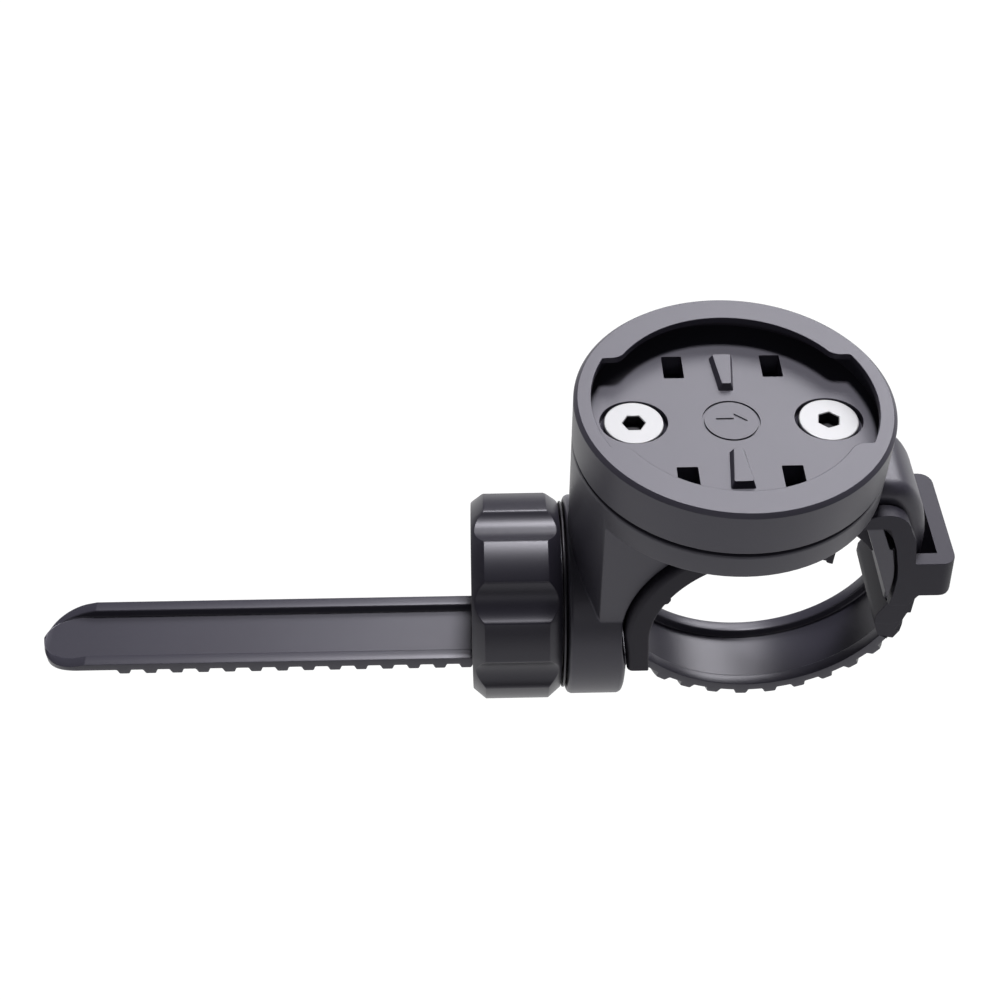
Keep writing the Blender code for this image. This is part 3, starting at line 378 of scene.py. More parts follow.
def round_edges(obj: bpy.types.Object, width: float, angle: float) -> None:
    """Gives a piece's sharp edges the small radius that a mould leaves.

    Args:
        obj: The piece.
        width: How far the radius reaches from the edge.
        angle: Edges that turn by less than this many degrees stay as they are.
    """
    bevel = obj.modifiers.new("small_radius", "BEVEL")
    bevel.width = width
    bevel.segments = 2
    bevel.limit_method = "ANGLE"
    bevel.angle_limit = math.radians(angle)
    bevel.use_clamp_overlap = False
    bevel.miter_outer = "MITER_ARC"
    keep_modifiers(obj)


@dataclass
class Piece:
    """A finished piece and what the frame has to know of it."""

    obj: bpy.types.Object
    body: Body
    slot: Slot
    stands_for: tuple[str, ...] = ()
    sharp_angle: float = 33.0
    shading_weight: int = 60

    def settle(self, finish: "Finish") -> "Piece":
        """Smooths, dresses and seats the piece.

        Args:
            finish: The finish that its whole surface gets.

        Returns:
            The piece itself.
        """
        mesh = self.obj.data
        mesh.shade_smooth()
        mesh.set_sharp_from_angle(angle=math.radians(self.sharp_angle))
        weighted = self.obj.modifiers.new("even_shading", "WEIGHTED_NORMAL")
        weighted.keep_sharp = True
        weighted.weight = self.shading_weight
        mesh.materials.clear()
        mesh.materials.append(finish.material())
        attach(self.obj, self.body.value)
        if self.stands_for:
            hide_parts(*self.stands_for)
        log.info("%s: %d faces, on %s", self.obj.name, len(mesh.polygons), self.body.value)
        return self


# Shader nodes


def feed(tree: bpy.types.NodeTree, socket: bpy.types.NodeSocket, value: object) -> None:
    """Gives an input its value.

    Args:
        tree: The node tree.
        socket: The input.
        value: The output to link, or a constant.
    """
    if isinstance(value, bpy.types.NodeSocket):
        tree.links.new(value, socket)
    else:
        socket.default_value = value


def noise_node(
    tree: bpy.types.NodeTree, scale: float, detail: float, roughness: float = 0.5
) -> bpy.types.Node:
    """Adds a noise texture.

    Args:
        tree: Where it goes.
        scale: Its scale.
        detail: Its detail.
        roughness: Its roughness.

    Returns:
        The node.
    """
    node = tree.nodes.new("ShaderNodeTexNoise")
    for socket, value in (("Scale", scale), ("Detail", detail), ("Roughness", roughness)):
        node.inputs[socket].default_value = value
    return node


def math_node(
    tree: bpy.types.NodeTree, operation: str, first: object, second: object = 0.0
) -> bpy.types.NodeSocket:
    """Adds a Math node.

    Args:
        tree: Where it goes.
        operation: Its operation.
        first: A socket or a number.
        second: A socket or a number.

    Returns:
        Its output.
    """
    node = tree.nodes.new("ShaderNodeMath")
    node.operation = operation
    for place, value in enumerate((first, second)):
        feed(tree, node.inputs[place], value)
    return node.outputs[0]


def colour_mix(
    tree: bpy.types.NodeTree, first: object, second: object, share: object
) -> bpy.types.NodeSocket:
    """Adds a mix of two colours.

    Args:
        tree: Where it goes.
        first: A socket or an RGBA colour.
        second: A socket or an RGBA colour.
        share: The second colour's share, a socket or a number.

    Returns:
        Its output.
    """
    node = tree.nodes.new("ShaderNodeMix")
    node.data_type = "RGBA"
    for socket, value in (("A", first), ("B", second), ("Factor", share)):
        feed(tree, node.inputs[socket], value)
    return node.outputs["Result"]


def shader_mix(
    tree: bpy.types.NodeTree,
    share: bpy.types.NodeSocket,
    first: bpy.types.NodeSocket,
    second: bpy.types.NodeSocket,
) -> bpy.types.NodeSocket:
    """Adds a mix of two shaders.

    Args:
        tree: Where it goes.
        share: The second shader's share.
        first: A shader.
        second: A shader.

    Returns:
        Its output.
    """
    node = tree.nodes.new("ShaderNodeMixShader")
    for place, value in enumerate((share, first, second)):
        feed(tree, node.inputs[place], value)
    return node.outputs["Shader"]


def effect(
    tree: bpy.types.NodeTree, group: bpy.types.NodeTree, vector: bpy.types.NodeSocket, **values: float
) -> bpy.types.bpy_prop_collection:
    """Adds a shared effect.

    Args:
        tree: Where it goes.
        group: The effect's node group.
        vector: Where on the surface it is.
        values: The group's numbers, by name, with an underscore for each space.

    Returns:
        Its outputs.
    """
    node = tree.nodes.new("ShaderNodeGroup")
    node.node_tree = group
    feed(tree, node.inputs["Vector"], vector)
    for name, value in values.items():
        feed(tree, node.inputs[name.replace("_", " ")], value)
    return node.outputs


@dataclass
class GroupDraft:
    """A new node group with its input and output sockets."""

    name: str
    inputs: dict[str, float]
    outputs: tuple[str, ...]

    def start(self) -> tuple[bpy.types.NodeTree, bpy.types.Node, bpy.types.Node]:
        """Makes the group with a Vector input, its numbers and its outputs.

        Returns:
            The group, its input node and its output node.
        """
        group = bpy.data.node_groups.new(self.name, "ShaderNodeTree")
        sockets = group.interface
        sockets.new_socket(name="Vector", in_out="INPUT", socket_type="NodeSocketVector")
        for name, value in self.inputs.items():
            made = sockets.new_socket(name=name, in_out="INPUT", socket_type="NodeSocketFloat")
            made.default_value = value
        for name in self.outputs:
            sockets.new_socket(name=name, in_out="OUTPUT", socket_type="NodeSocketFloat")
        return group, group.nodes.new("NodeGroupInput"), group.nodes.new("NodeGroupOutput")


class ShaderGroups:
    """Effects that several finishes share, each a node group that is built once."""

    # How far below a screw head's flat its socket gets painted shade
    SOCKET_LIP = 0.16 * MM

    @staticmethod
    @cache
    def moulded_grain() -> bpy.types.NodeTree:
        """Spark-eroded mould texture: fine grain over a faint, broad unevenness.

        Returns:
            The group; Height is for a Bump node, Cloud is a broad mask and Speck a fine one.
        """
        numbers = {"Grain Scale": 9000.0, "Cloud Scale": 90.0, "Cloud Share": 0.25}
        group, enter, leave = GroupDraft("moulded_grain", numbers, ("Height", "Cloud", "Speck")).start()
        fine = noise_node(group, 1.0, 2.0, 0.6)
        broad = noise_node(group, 1.0, 3.0)
        for node, scale in ((fine, "Grain Scale"), (broad, "Cloud Scale")):
            feed(group, node.inputs["Vector"], enter.outputs["Vector"])
            feed(group, node.inputs["Scale"], enter.outputs[scale])
        grain, cloud = fine.outputs["Fac"], broad.outputs["Fac"]
        share = math_node(group, "MULTIPLY", cloud, enter.outputs["Cloud Share"])
        feed(group, leave.inputs["Height"], math_node(group, "ADD", grain, share))
        feed(group, leave.inputs["Cloud"], cloud)
        feed(group, leave.inputs["Speck"], grain)
        return group

    @staticmethod
    @cache
    def turned_marks() -> bpy.types.NodeTree:
        """Fine circular marks that a lathe leaves round a piece's own axis.

        Returns:
            The group; Height is for a Bump node and Marks is a mask.
        """
        numbers = {"Marks Scale": 2500.0, "Waver": 0.5}
        group, enter, leave = GroupDraft("turned_marks", numbers, ("Height", "Marks")).start()
        rings = group.nodes.new("ShaderNodeTexWave")
        rings.wave_type = "RINGS"
        rings.rings_direction = "Z"
        rings.inputs["Detail"].default_value = 2.0
        feed(group, rings.inputs["Vector"], enter.outputs["Vector"])
        feed(group, rings.inputs["Scale"], enter.outputs["Marks Scale"])
        feed(group, rings.inputs["Distortion"], enter.outputs["Waver"])
        blur = noise_node(group, 1400.0, 3.0)
        feed(group, blur.inputs["Vector"], enter.outputs["Vector"])
        both = math_node(group, "MULTIPLY", rings.outputs["Fac"], blur.outputs["Fac"])
        feed(group, leave.inputs["Height"], both)
        feed(group, leave.inputs["Marks"], rings.outputs["Fac"])
        return group

    @staticmethod
    @cache
    def socket_shade() -> bpy.types.NodeTree:
        """Marks where a screw's socket gets painted shade: near the axis and below the head's flat.

        Returns:
            The group; Mask is 1 in the socket, whose depth is measured along the local Z axis.
        """
        group, enter, leave = GroupDraft("socket_shade", {"Radius": 1.0 * MM}, ("Mask",)).start()
        parts = group.nodes.new("ShaderNodeSeparateXYZ")
        feed(group, parts.inputs["Vector"], enter.outputs["Vector"])
        x, y, z = (parts.outputs[letter] for letter in "XYZ")
        squares = [math_node(group, "MULTIPLY", value, value) for value in (x, y)]
        away = math_node(group, "SQRT", math_node(group, "ADD", *squares))
        near = math_node(group, "LESS_THAN", away, enter.outputs["Radius"])
        depth = math_node(group, "ABSOLUTE", z)
        deep = math_node(group, "GREATER_THAN", depth, ShaderGroups.SOCKET_LIP)
        feed(group, leave.inputs["Mask"], math_node(group, "MULTIPLY", near, deep))
        return group


# Finishes


@dataclass(frozen=True)
class Finish:
    """A finish whose colour, gloss and relief all vary a little over the surface.

    The colour goes from shade to colour with the broad mask, the roughness swings about its
    middle with the fine mask, and the relief is a bump of the given depth.  A finish with turned
    marks has them about the local Z axis, and one with a socket has painted shade within that radius.
    """

    name: str
    colour: Colour
    shade: Colour
    roughness: float
    swing: float = 0.06
    metallic: float = 0.0
    specular: float = 0.5
    ior: float = 1.55
    sheen: Colour = (0.93, 0.91, 1.0)
    grain_scale: float = 9000.0
    cloud_scale: float = 90.0
    depth: float = 0.004 * MM
    centre: Point = (0.0, 0.0, 0.0)
    turn: Point = (0.0, 0.0, 0.0)
    turned: bool = False
    socket: float = 0.0
    # Painted shade: the dark colour that stands in for the shade inside a screw's socket
    socket_painted_shade: Colour = (0.012, 0.012, 0.013)

    def vector(self, tree: bpy.types.NodeTree) -> bpy.types.NodeSocket:
        """Adds the mapping from the object's axes to the finish's own.

        Args:
            tree: The material's node tree.

        Returns:
            The place on the surface, measured from the finish's centre.
        """
        mapping = tree.nodes.new("ShaderNodeMapping")
        mapping.vector_type = "TEXTURE"
        mapping.inputs["Location"].default_value = self.centre
        mapping.inputs["Rotation"].default_value = self.turn
        place = tree.nodes.new("ShaderNodeTexCoord")
        feed(tree, mapping.inputs["Vector"], place.outputs["Object"])
        return mapping.outputs["Vector"]

    def material(self) -> bpy.types.Material:
        """Builds the material, or finds it where it is there already.

        Returns:
            The material.
        """
        name = "look_" + self.name
        if name in bpy.data.materials:
            return bpy.data.materials[name]
        made = bpy.data.materials.new(name)
        made.use_nodes = True
        tree = made.node_tree
        vector = self.vector(tree)
        scales = {"Grain_Scale": self.grain_scale, "Cloud_Scale": self.cloud_scale}
        grain = effect(tree, ShaderGroups.moulded_grain(), vector, **scales)
        height, mask = grain["Height"], grain["Speck"]
        colour = colour_mix(tree, (*self.shade, 1.0), (*self.colour, 1.0), grain["Cloud"])
        # Painted shade: a screw's socket is coloured dark where shade falls in it
        if self.socket > 0.0:
            painted_shade_mask = effect(tree, ShaderGroups.socket_shade(), vector, Radius=self.socket)
            colour = colour_mix(tree, colour, (*self.socket_painted_shade, 1.0), painted_shade_mask["Mask"])
        if self.turned:
            marks = effect(tree, ShaderGroups.turned_marks(), vector)
            height, mask = marks["Height"], marks["Marks"]
        swung = math_node(tree, "MULTIPLY", math_node(tree, "SUBTRACT", mask, 0.5), 2.0 * self.swing)
        bump = tree.nodes.new("ShaderNodeBump")
        bump.inputs["Strength"].default_value = 1.0
        bump.inputs["Distance"].default_value = self.depth
        feed(tree, bump.inputs["Height"], height)
        values = {
            "Base Color": colour,
            "Roughness": math_node(tree, "ADD", swung, self.roughness),
            "Normal": bump.outputs["Normal"],
            "Metallic": self.metallic,
            "IOR": self.ior,
            "Specular Tint": (*self.sheen, 1.0),
            "Specular IOR Level": self.specular,
        }
        for socket, value in values.items():
            feed(tree, tree.nodes["Principled BSDF"].inputs[socket], value)
        return made


GRAPHITE_CUP = Finish("graphite_cup", (0.050, 0.047, 0.064), (0.043, 0.040, 0.055), 0.43)
GRAPHITE_BRACKET = Finish("graphite_bracket", (0.044, 0.041, 0.056), (0.037, 0.035, 0.048), 0.42)
GRAPHITE_KNOB = Finish(
    "graphite_knob", (0.022, 0.020, 0.029), (0.018, 0.017, 0.025), 0.37, specular=0.42
)
# Painted shade: the strap's own plastic made darker and less glossy for its frame-shaped end, which sits in
# shade
GRAPHITE_END_PAINTED_SHADE = Finish(
    "graphite_end_painted_shade", (0.026, 0.024, 0.035), (0.022, 0.020, 0.030), 0.50, specular=0.20
)
GRAPHITE_STRAP = Finish("graphite_strap", (0.042, 0.040, 0.055), (0.035, 0.033, 0.046), 0.36)
RUBBER = Finish(
    "liner_rubber", (0.024, 0.022, 0.030), (0.020, 0.018, 0.026), 0.50, specular=0.15, grain_scale=6000.0
)
NYLON = Finish("black_nylon", (0.012, 0.012, 0.014), (0.009, 0.009, 0.011), 0.42)
STEEL = Finish(
    "steel", (0.40, 0.40, 0.41), (0.37, 0.37, 0.38), 0.42, 0.04, metallic=0.12, depth=0.0006 * MM, turned=True
)
BRASS = Finish("insert_brass", (0.72, 0.53, 0.25), (0.62, 0.44, 0.20), 0.34, 0.08, metallic=1.0)


# Sub-assemblies


@dataclass
class Receiver:
    """The cup with the quarter-turn mouth, its two floor keys and its screw seats."""

    columns: int = 360
    lip: float = 0.85 * MM
    lip_radius: float = 15.83 * MM
    wing_radius: float = 17.8 * MM
    wing_half: float = 8.15 * MM
    wing_fillet: float = 2.0 * MM
    pocket: float = 18.75 * MM
    top_chamfer: float = 0.5 * MM
    bottom_chamfer: float = 0.25 * MM
    edge: float = 0.12 * MM
    counterbore: float = 4.3 * MM
    counterbore_narrowing: float = 0.9
    counterbore_step: float = 0.5 * MM
    flare: float = 0.04 * MM
    hole_x: tuple[float, float] = (5.1 * MM, 7.75 * MM)
    hole_y: tuple[float, float] = (8.14 * MM, 12.4 * MM)
    hole_corner: float = 0.15 * MM
    key_y: tuple[float, float] = (5.6 * MM, 12.0 * MM)
    key_widths: tuple[float, float] = (1.9 * MM, 3.1 * MM)
    key_height: float = 1.0 * MM
    key_draft: float = 0.4 * MM
    key_corner: float = 0.2 * MM
    key_draft_shares: tuple[float, ...] = (0.0, 0.0, 0.80, 0.94, 1.2)
    key_height_shares: tuple[float, ...] = (-0.5, 0.0, 0.86, 0.97, 1.0)
    ring_radius: float = 3.53 * MM
    ring_width: float = 0.3 * MM
    ring_taper: float = 0.9
    mark_depth: float = 0.25 * MM
    overcut: float = 0.3 * MM
    arrow_tip: float = 2.1 * MM
    arrow_neck: float = 0.4 * MM
    arrow_tail: float = -1.9 * MM
    arrow_half: float = 1.35 * MM
    arrow_shaft_half: float = 0.5 * MM
    arrow_corner: float = 0.08 * MM

    def mouth_radius(self, angles: Array) -> Array:
        """Distance of the mouth's edge from the cup's axis, at each angle.

        One quarter is drawn as an arc of the wing, a straight side, and a fillet that rolls onto
        the lip's circle; the other three are its mirror images, so the angle is folded first.

        Args:
            angles: Angles round the axis, in radians.

        Returns:
            The radii.
        """
        centre_y = self.wing_half + self.wing_fillet
        centre_x = math.sqrt((self.lip_radius + self.wing_fillet) ** 2 - centre_y**2)
        touch = math.degrees(math.atan2(centre_y, centre_x))
        corner = math.degrees(math.asin(self.wing_half / self.wing_radius))
        wing = polar(self.wing_radius, np.linspace(0.0, corner, 24))
        fillet = polar(self.wing_fillet, np.linspace(270.0, 180.0 + touch, 24)) + (centre_x, centre_y)
        lip = polar(self.lip_radius, np.linspace(touch, 90.0, 24)[1:])
        quarter = np.concatenate([wing, fillet, lip])
        folded = np.arctan2(np.abs(np.sin(angles)), np.abs(np.cos(angles)))
        order = np.arctan2(quarter[:, 1], quarter[:, 0])
        return np.interp(folded, order, np.hypot(quarter[:, 0], quarter[:, 1]))

    def shell(self) -> bpy.types.Mesh:
        """Turns the shell, whose inner edge follows the mouth: one profile at each angle.

        The mouth's edge is a quarter round of radius e: mouth + e (1 - sin t), top - e (1 - cos t).

        Returns:
            The closed mesh.
        """
        top, bottom, outer = SIZES.cup_top, SIZES.cup_top - SIZES.cup_height, SIZES.cup_radius
        mouth = self.mouth_radius(full_turn(self.columns))
        corners = [
            (0.5 * outer, bottom),
            (outer - self.bottom_chamfer, bottom),
            (outer, bottom + self.bottom_chamfer),
            (outer, top - self.top_chamfer),
            (outer - self.top_chamfer, top),
            (0.9 * outer, top),
        ]
        e = self.edge
        wall = rounded(np.array(corners), e, closed=False)[1:-1]
        turn = np.linspace(0.0, math.pi / 2.0, 5)
        edge = [(mouth + e * (1.0 - math.sin(t)), top - e * (1.0 - math.cos(t))) for t in turn]
        under = top - self.lip
        recess = [(mouth, under), (self.pocket, under), (self.pocket, SIZES.floor_z)]
        inside = sections(self.columns, *edge, *recess).swapaxes(0, 1)
        profile = np.concatenate([np.repeat(wall[:, None, :], self.columns, axis=1), inside])
        return revolve("receiver_shell", profile, (SIZES.cup_x, 0.0, 0.0), Axis.UP, self.columns)

    def screw_space(self, x: float) -> bpy.types.Mesh:
        """Makes the tool for one cup screw's seat: counterbore, cone and clearance hole.

        Args:
            x: Where the screw stands.

        Returns:
            The closed mesh, narrowed along Y.
        """
        rim = SIZES.screw_top - SIZES.screw_rim
        hole = SIZES.screw_shank + SIZES.gap
        head = SIZES.screw_head + SIZES.gap * math.sqrt(2.0)
        profile = [
            (self.counterbore + self.flare, SIZES.cup_top),
            (self.counterbore + self.flare, SIZES.floor_z),
            (self.counterbore, SIZES.floor_z - self.flare),
            (self.counterbore, rim - self.counterbore_step),
            (head, rim - self.counterbore_step),
            (hole, rim - (head - hole)),
            (hole, SIZES.cut_bottom),
        ]
        mesh = revolve("screw_space", np.array(profile), (x, 0.0, 0.0), Axis.UP, 72)
        mesh.transform(Matrix.Diagonal((1.0, self.counterbore_narrowing, 1.0, 1.0)))
        return mesh

    def floor_hole(self, side_x: int, side_y: int) -> bpy.types.Mesh:
        """Makes the tool for one rectangular hole through the floor, with softened corners.

        Args:
            side_x: 1 for a hole towards the arm, -1 for one towards the knob.
            side_y: 1 for a hole at the back, -1 for one at the front.

        Returns:
            The closed mesh.
        """
        (near_x, far_x), (near_y, far_y) = self.hole_x, self.hole_y
        corners = np.array([(near_x, near_y), (far_x, near_y), (far_x, far_y), (near_x, far_y)])
        outline = rounded(corners, self.hole_corner) * (side_x, side_y) + (SIZES.cup_x, 0.0)
        return extrude("floor_hole", outline, SIZES.cut_bottom, SIZES.cup_top)

    def floor_key(self, side: int) -> bpy.types.Mesh:
        """Makes a low key, wider towards the rim, with sloping sides and a rounded top.

        Args:
            side: 1 for the key at the back, -1 for the one at the front.

        Returns:
            The closed mesh, whose foot lies in the floor.
        """
        inner, outer = (width / 2.0 for width in self.key_widths)
        near, far = self.key_y
        base = np.array([(-inner, near), (inner, near), (outer, far), (-outer, far)])
        draw = self.key_draft * np.array([(1, 1), (-1, 1), (-1, -1), (1, -1)])
        stack = base + draw * np.array(self.key_draft_shares)[:, None, None]
        outlines = rounded(stack, self.key_corner) * (1, side) + (SIZES.cup_x, 0.0)
        levels = SIZES.floor_z + self.key_height * np.array(self.key_height_shares)
        height = np.repeat(levels[:, None], outlines.shape[1], axis=1)
        return mesh_from_rings("floor_key", np.concatenate([outlines, height[..., None]], -1))

    def ring_mark(self) -> bpy.types.Mesh:
        """Makes the tool for the round groove on the floor, a little narrower at its bottom.

        Returns:
            The closed mesh.
        """
        half = self.ring_width / 2.0
        above, below = SIZES.floor_z + self.overcut, SIZES.floor_z - self.mark_depth
        section = [
            (self.ring_radius - half, above),
            (self.ring_radius + half, above),
            (self.ring_radius + half * self.ring_taper, below),
            (self.ring_radius - half * self.ring_taper, below),
        ]
        return revolve("ring_mark", np.array(section), (SIZES.cup_x, 0.0, 0.0), Axis.UP, 96, True)

    def arrow_mark(self) -> bpy.types.Mesh:
        """Makes the tool for a plain arrow in the ring that points across the bar.

        Returns:
            The closed mesh.
        """
        upper = [(self.arrow_neck, self.arrow_half), (self.arrow_neck, self.arrow_shaft_half)]
        upper.append((self.arrow_tail, self.arrow_shaft_half))
        lower = [(x, -y) for x, y in reversed(upper)]
        shape = np.array([(self.arrow_tip, 0.0), *upper, *lower])
        outline = rounded(shape, self.arrow_corner, 3) + (SIZES.cup_x, 0.0)
        bottom = SIZES.floor_z - 0.6 * self.mark_depth
        return extrude("arrow_mark", outline, bottom, SIZES.floor_z + self.overcut)

    def build(self) -> Piece:
        """Builds the cup as one closed piece.

        Returns:
            The cup.
        """
        cup = new_object("receiver_cup_fine", self.shell())
        cuts = [self.screw_space(SIZES.cup_x + side * SIZES.screw_offset) for side in (-1, 1)]
        cuts += [self.floor_hole(sx, sy) for sx in (-1, 1) for sy in (-1, 1)]
        cuts += [self.ring_mark(), self.arrow_mark()]
        carve(cup, cuts, "DIFFERENCE")
        carve(cup, [self.floor_key(side) for side in (-1, 1)], "UNION")
        return Piece(cup, Body.MOUNT, Slot.CUP, ("receiver_cup",)).settle(GRAPHITE_CUP)


@dataclass
class SocketScrew:
    """A countersunk screw with a hexagon socket."""

    node: str
    centre: Point
    axis: Axis
    head: float
    rim: float
    shank: float
    length: float
    socket: float
    socket_depth: float
    socket_turn: float
    sign: float = -1.0
    edge: float = 0.12 * MM
    columns: int = 144
    point: float = 0.4 * MM
    flat_ring: float = 0.2 * MM
    socket_ring: float = 0.05 * MM
    corner_radii: tuple[float, ...] = (0.0, 0.1 * MM, 0.1 * MM, 0.1 * MM, 0.08 * MM, 0.12 * MM, 0.0, 0.0)

    def build(self) -> Piece:
        """Turns the screw; the socket's rings follow a hexagon, apothem / cos(angle in a side).

        Returns:
            The screw.
        """
        folded = (full_turn(self.columns) - math.radians(self.socket_turn)) % (math.tau / 6.0)
        hexagon = self.socket / 2.0 / np.cos(folded - math.tau / 12.0)
        corners = [
            (0.1 * self.shank, self.length),
            (self.shank - self.point, self.length),
            (self.shank, self.length - self.point),
            (self.shank, self.rim + self.head - self.shank),
            (self.head, self.rim),
            (self.head, 0.0),
            (self.head - self.flat_ring, 0.0),
            (0.6 * self.head, 0.0),
        ]
        outside = rounded(np.array(corners), np.array(self.corner_radii), closed=False)[1:]
        hollow = sections(
            self.columns,
            (hexagon + self.edge + self.socket_ring, 0.0),
            (hexagon + self.edge, 0.0),
            (hexagon + 0.35 * self.edge, 0.4 * self.edge),
            (hexagon, self.edge),
            (hexagon, self.socket_depth),
        ).swapaxes(0, 1)
        profile = np.concatenate([np.repeat(outside[:, None, :], self.columns, axis=1), hollow])
        name = self.node + "_fine"
        mesh = revolve(name, profile * (1.0, self.sign), self.centre, self.axis, self.columns)
        steel = replace(
            STEEL,
            name="steel_" + self.node,
            centre=self.centre,
            turn=(0.0, 0.0 if self.axis is Axis.UP else math.pi / 2.0, 0.0),
            # Radius of the socket's painted shade
            socket=self.socket / math.sqrt(3.0) + self.edge,
        )
        return Piece(new_object(name, mesh), Body.MOUNT, Slot.SCREW, (self.node,)).settle(steel)


@dataclass
class Bracket:
    """The bracket: base disc, slab over the bar, boss with its core, and arm."""

    edge: float = 0.22 * MM
    edge_angle: float = 32.0

    def build(self) -> Piece:
        """Merges a copy of the CAD solid and rounds its sharp edges.

        Returns:
            The bracket.
        """
        bracket = cad_copy("base_bracket", "base_bracket_fine")
        round_edges(bracket, self.edge, self.edge_angle)
        return Piece(bracket, Body.MOUNT, Slot.BRACKET, ("base_bracket",)).settle(GRAPHITE_BRACKET)


@dataclass
class Knob:
    """The fluted knob on the core, with a chamfer at each end and a seat for the cap."""

    columns: int = 960
    radius: float = 14.54 * MM
    chamfer_length: float = 1.75 * MM
    chamfer_depth: float = 1.5 * MM
    flutes: int = 8
    flute_depth: float = 1.1 * MM
    flute_radius: float = 4.85 * MM
    edge: float = 0.22 * MM
    bore_edge: float = 0.15 * MM
    seat_edge: float = 0.05 * MM

    def rim(self, angles: Array) -> Array:
        """Radius of the fluted outline at each angle, one flute on top.

        Outside a flute it is the knob's circle.  Inside, at an angle d from the flute's middle,
        it is the near crossing of the ray with the flute's circle, whose centre is at c:
        c cos d - sqrt(f^2 - (c sin d)^2).  The corners are then rounded by a short window.

        Args:
            angles: Angles round the axis, in radians, evenly spaced over one turn.

        Returns:
            The radii.
        """
        centre = self.radius - self.flute_depth + self.flute_radius
        step = math.tau / self.flutes
        away = (angles - math.pi / 2.0 + step / 2.0) % step - step / 2.0
        inside = np.maximum(self.flute_radius**2 - (centre * np.sin(away)) ** 2, 0.0)
        flute = np.where(inside > 0.0, centre * np.cos(away) - np.sqrt(inside), self.radius)
        return soften_steps(np.minimum(flute, self.radius), 3, wrap=True)

    def build(self) -> Piece:
        """Carries the profile round the axis; its chamfer ends where it meets the outline.

        Returns:
            The knob.
        """
        rim = self.rim(full_turn(self.columns))
        length = SIZES.knob_right - SIZES.knob_left
        face = self.radius - self.chamfer_depth
        rise = (rim - face) * self.chamfer_length / self.chamfer_depth
        bore = SIZES.core_radius + SIZES.gap
        seat = SIZES.cap_radius + SIZES.gap
        floor = SIZES.cap_thickness + SIZES.cap_inset + SIZES.seat_gap - length
        corners = sections(
            self.columns,
            (bore, 0.0),
            (face, 0.0),
            (rim, -rise),
            (rim, rise - length),
            (face, -length),
            (seat, -length),
            (seat, floor),
            (bore, floor),
        )
        radii = [self.bore_edge, *[self.edge] * 4, self.bore_edge, self.seat_edge, self.bore_edge]
        profile = rounded(corners, np.array(radii)).swapaxes(0, 1)
        name, centre = "adjuster_knob_fine", (SIZES.knob_right, 0.0, SIZES.knob_axis_z)
        mesh = revolve(name, profile, centre, Axis.ALONG_STRAP, self.columns, True)
        knob = Piece(new_object(name, mesh), Body.KNOB, Slot.KNOB, ("adjuster_knob",))
        return knob.settle(GRAPHITE_KNOB)


@dataclass
class CoreParts:
    """The thin washer behind the knob, the cap that keeps the knob on, and the cap's screw."""

    washer_radius: float = 13.1 * MM
    washer_x: float = -27.15 * MM
    washer_thickness: float = 0.3 * MM
    washer_edge: float = 0.08 * MM
    cap_edge: float = 0.15 * MM
    cap_edge_angle: float = 40.0

    def washer(self) -> Piece:
        """Turns the flat ring as one closed profile.

        Returns:
            The washer.
        """
        bore, front = SIZES.core_radius + SIZES.gap, self.washer_x + self.washer_thickness
        corners = [
            (bore, front),
            (self.washer_radius, front),
            (self.washer_radius, self.washer_x),
            (bore, self.washer_x),
        ]
        profile = rounded(np.array(corners), self.washer_edge, 3)
        name, centre = "thrust_washer_fine", (0.0, 0.0, SIZES.knob_axis_z)
        mesh = revolve(name, profile, centre, Axis.ALONG_STRAP, 180, True)
        washer = Piece(new_object(name, mesh), Body.MOUNT, Slot.WASHER, ("thrust_washer",))
        return washer.settle(NYLON)

    def cap(self) -> Piece:
        """Merges a copy of the CAD disc and rounds its rim.

        Returns:
            The cap.
        """
        obj = cad_copy("core_cap", "core_cap_fine")
        round_edges(obj, self.cap_edge, self.cap_edge_angle)
        return Piece(obj, Body.MOUNT, Slot.WASHER, ("core_cap",)).settle(NYLON)


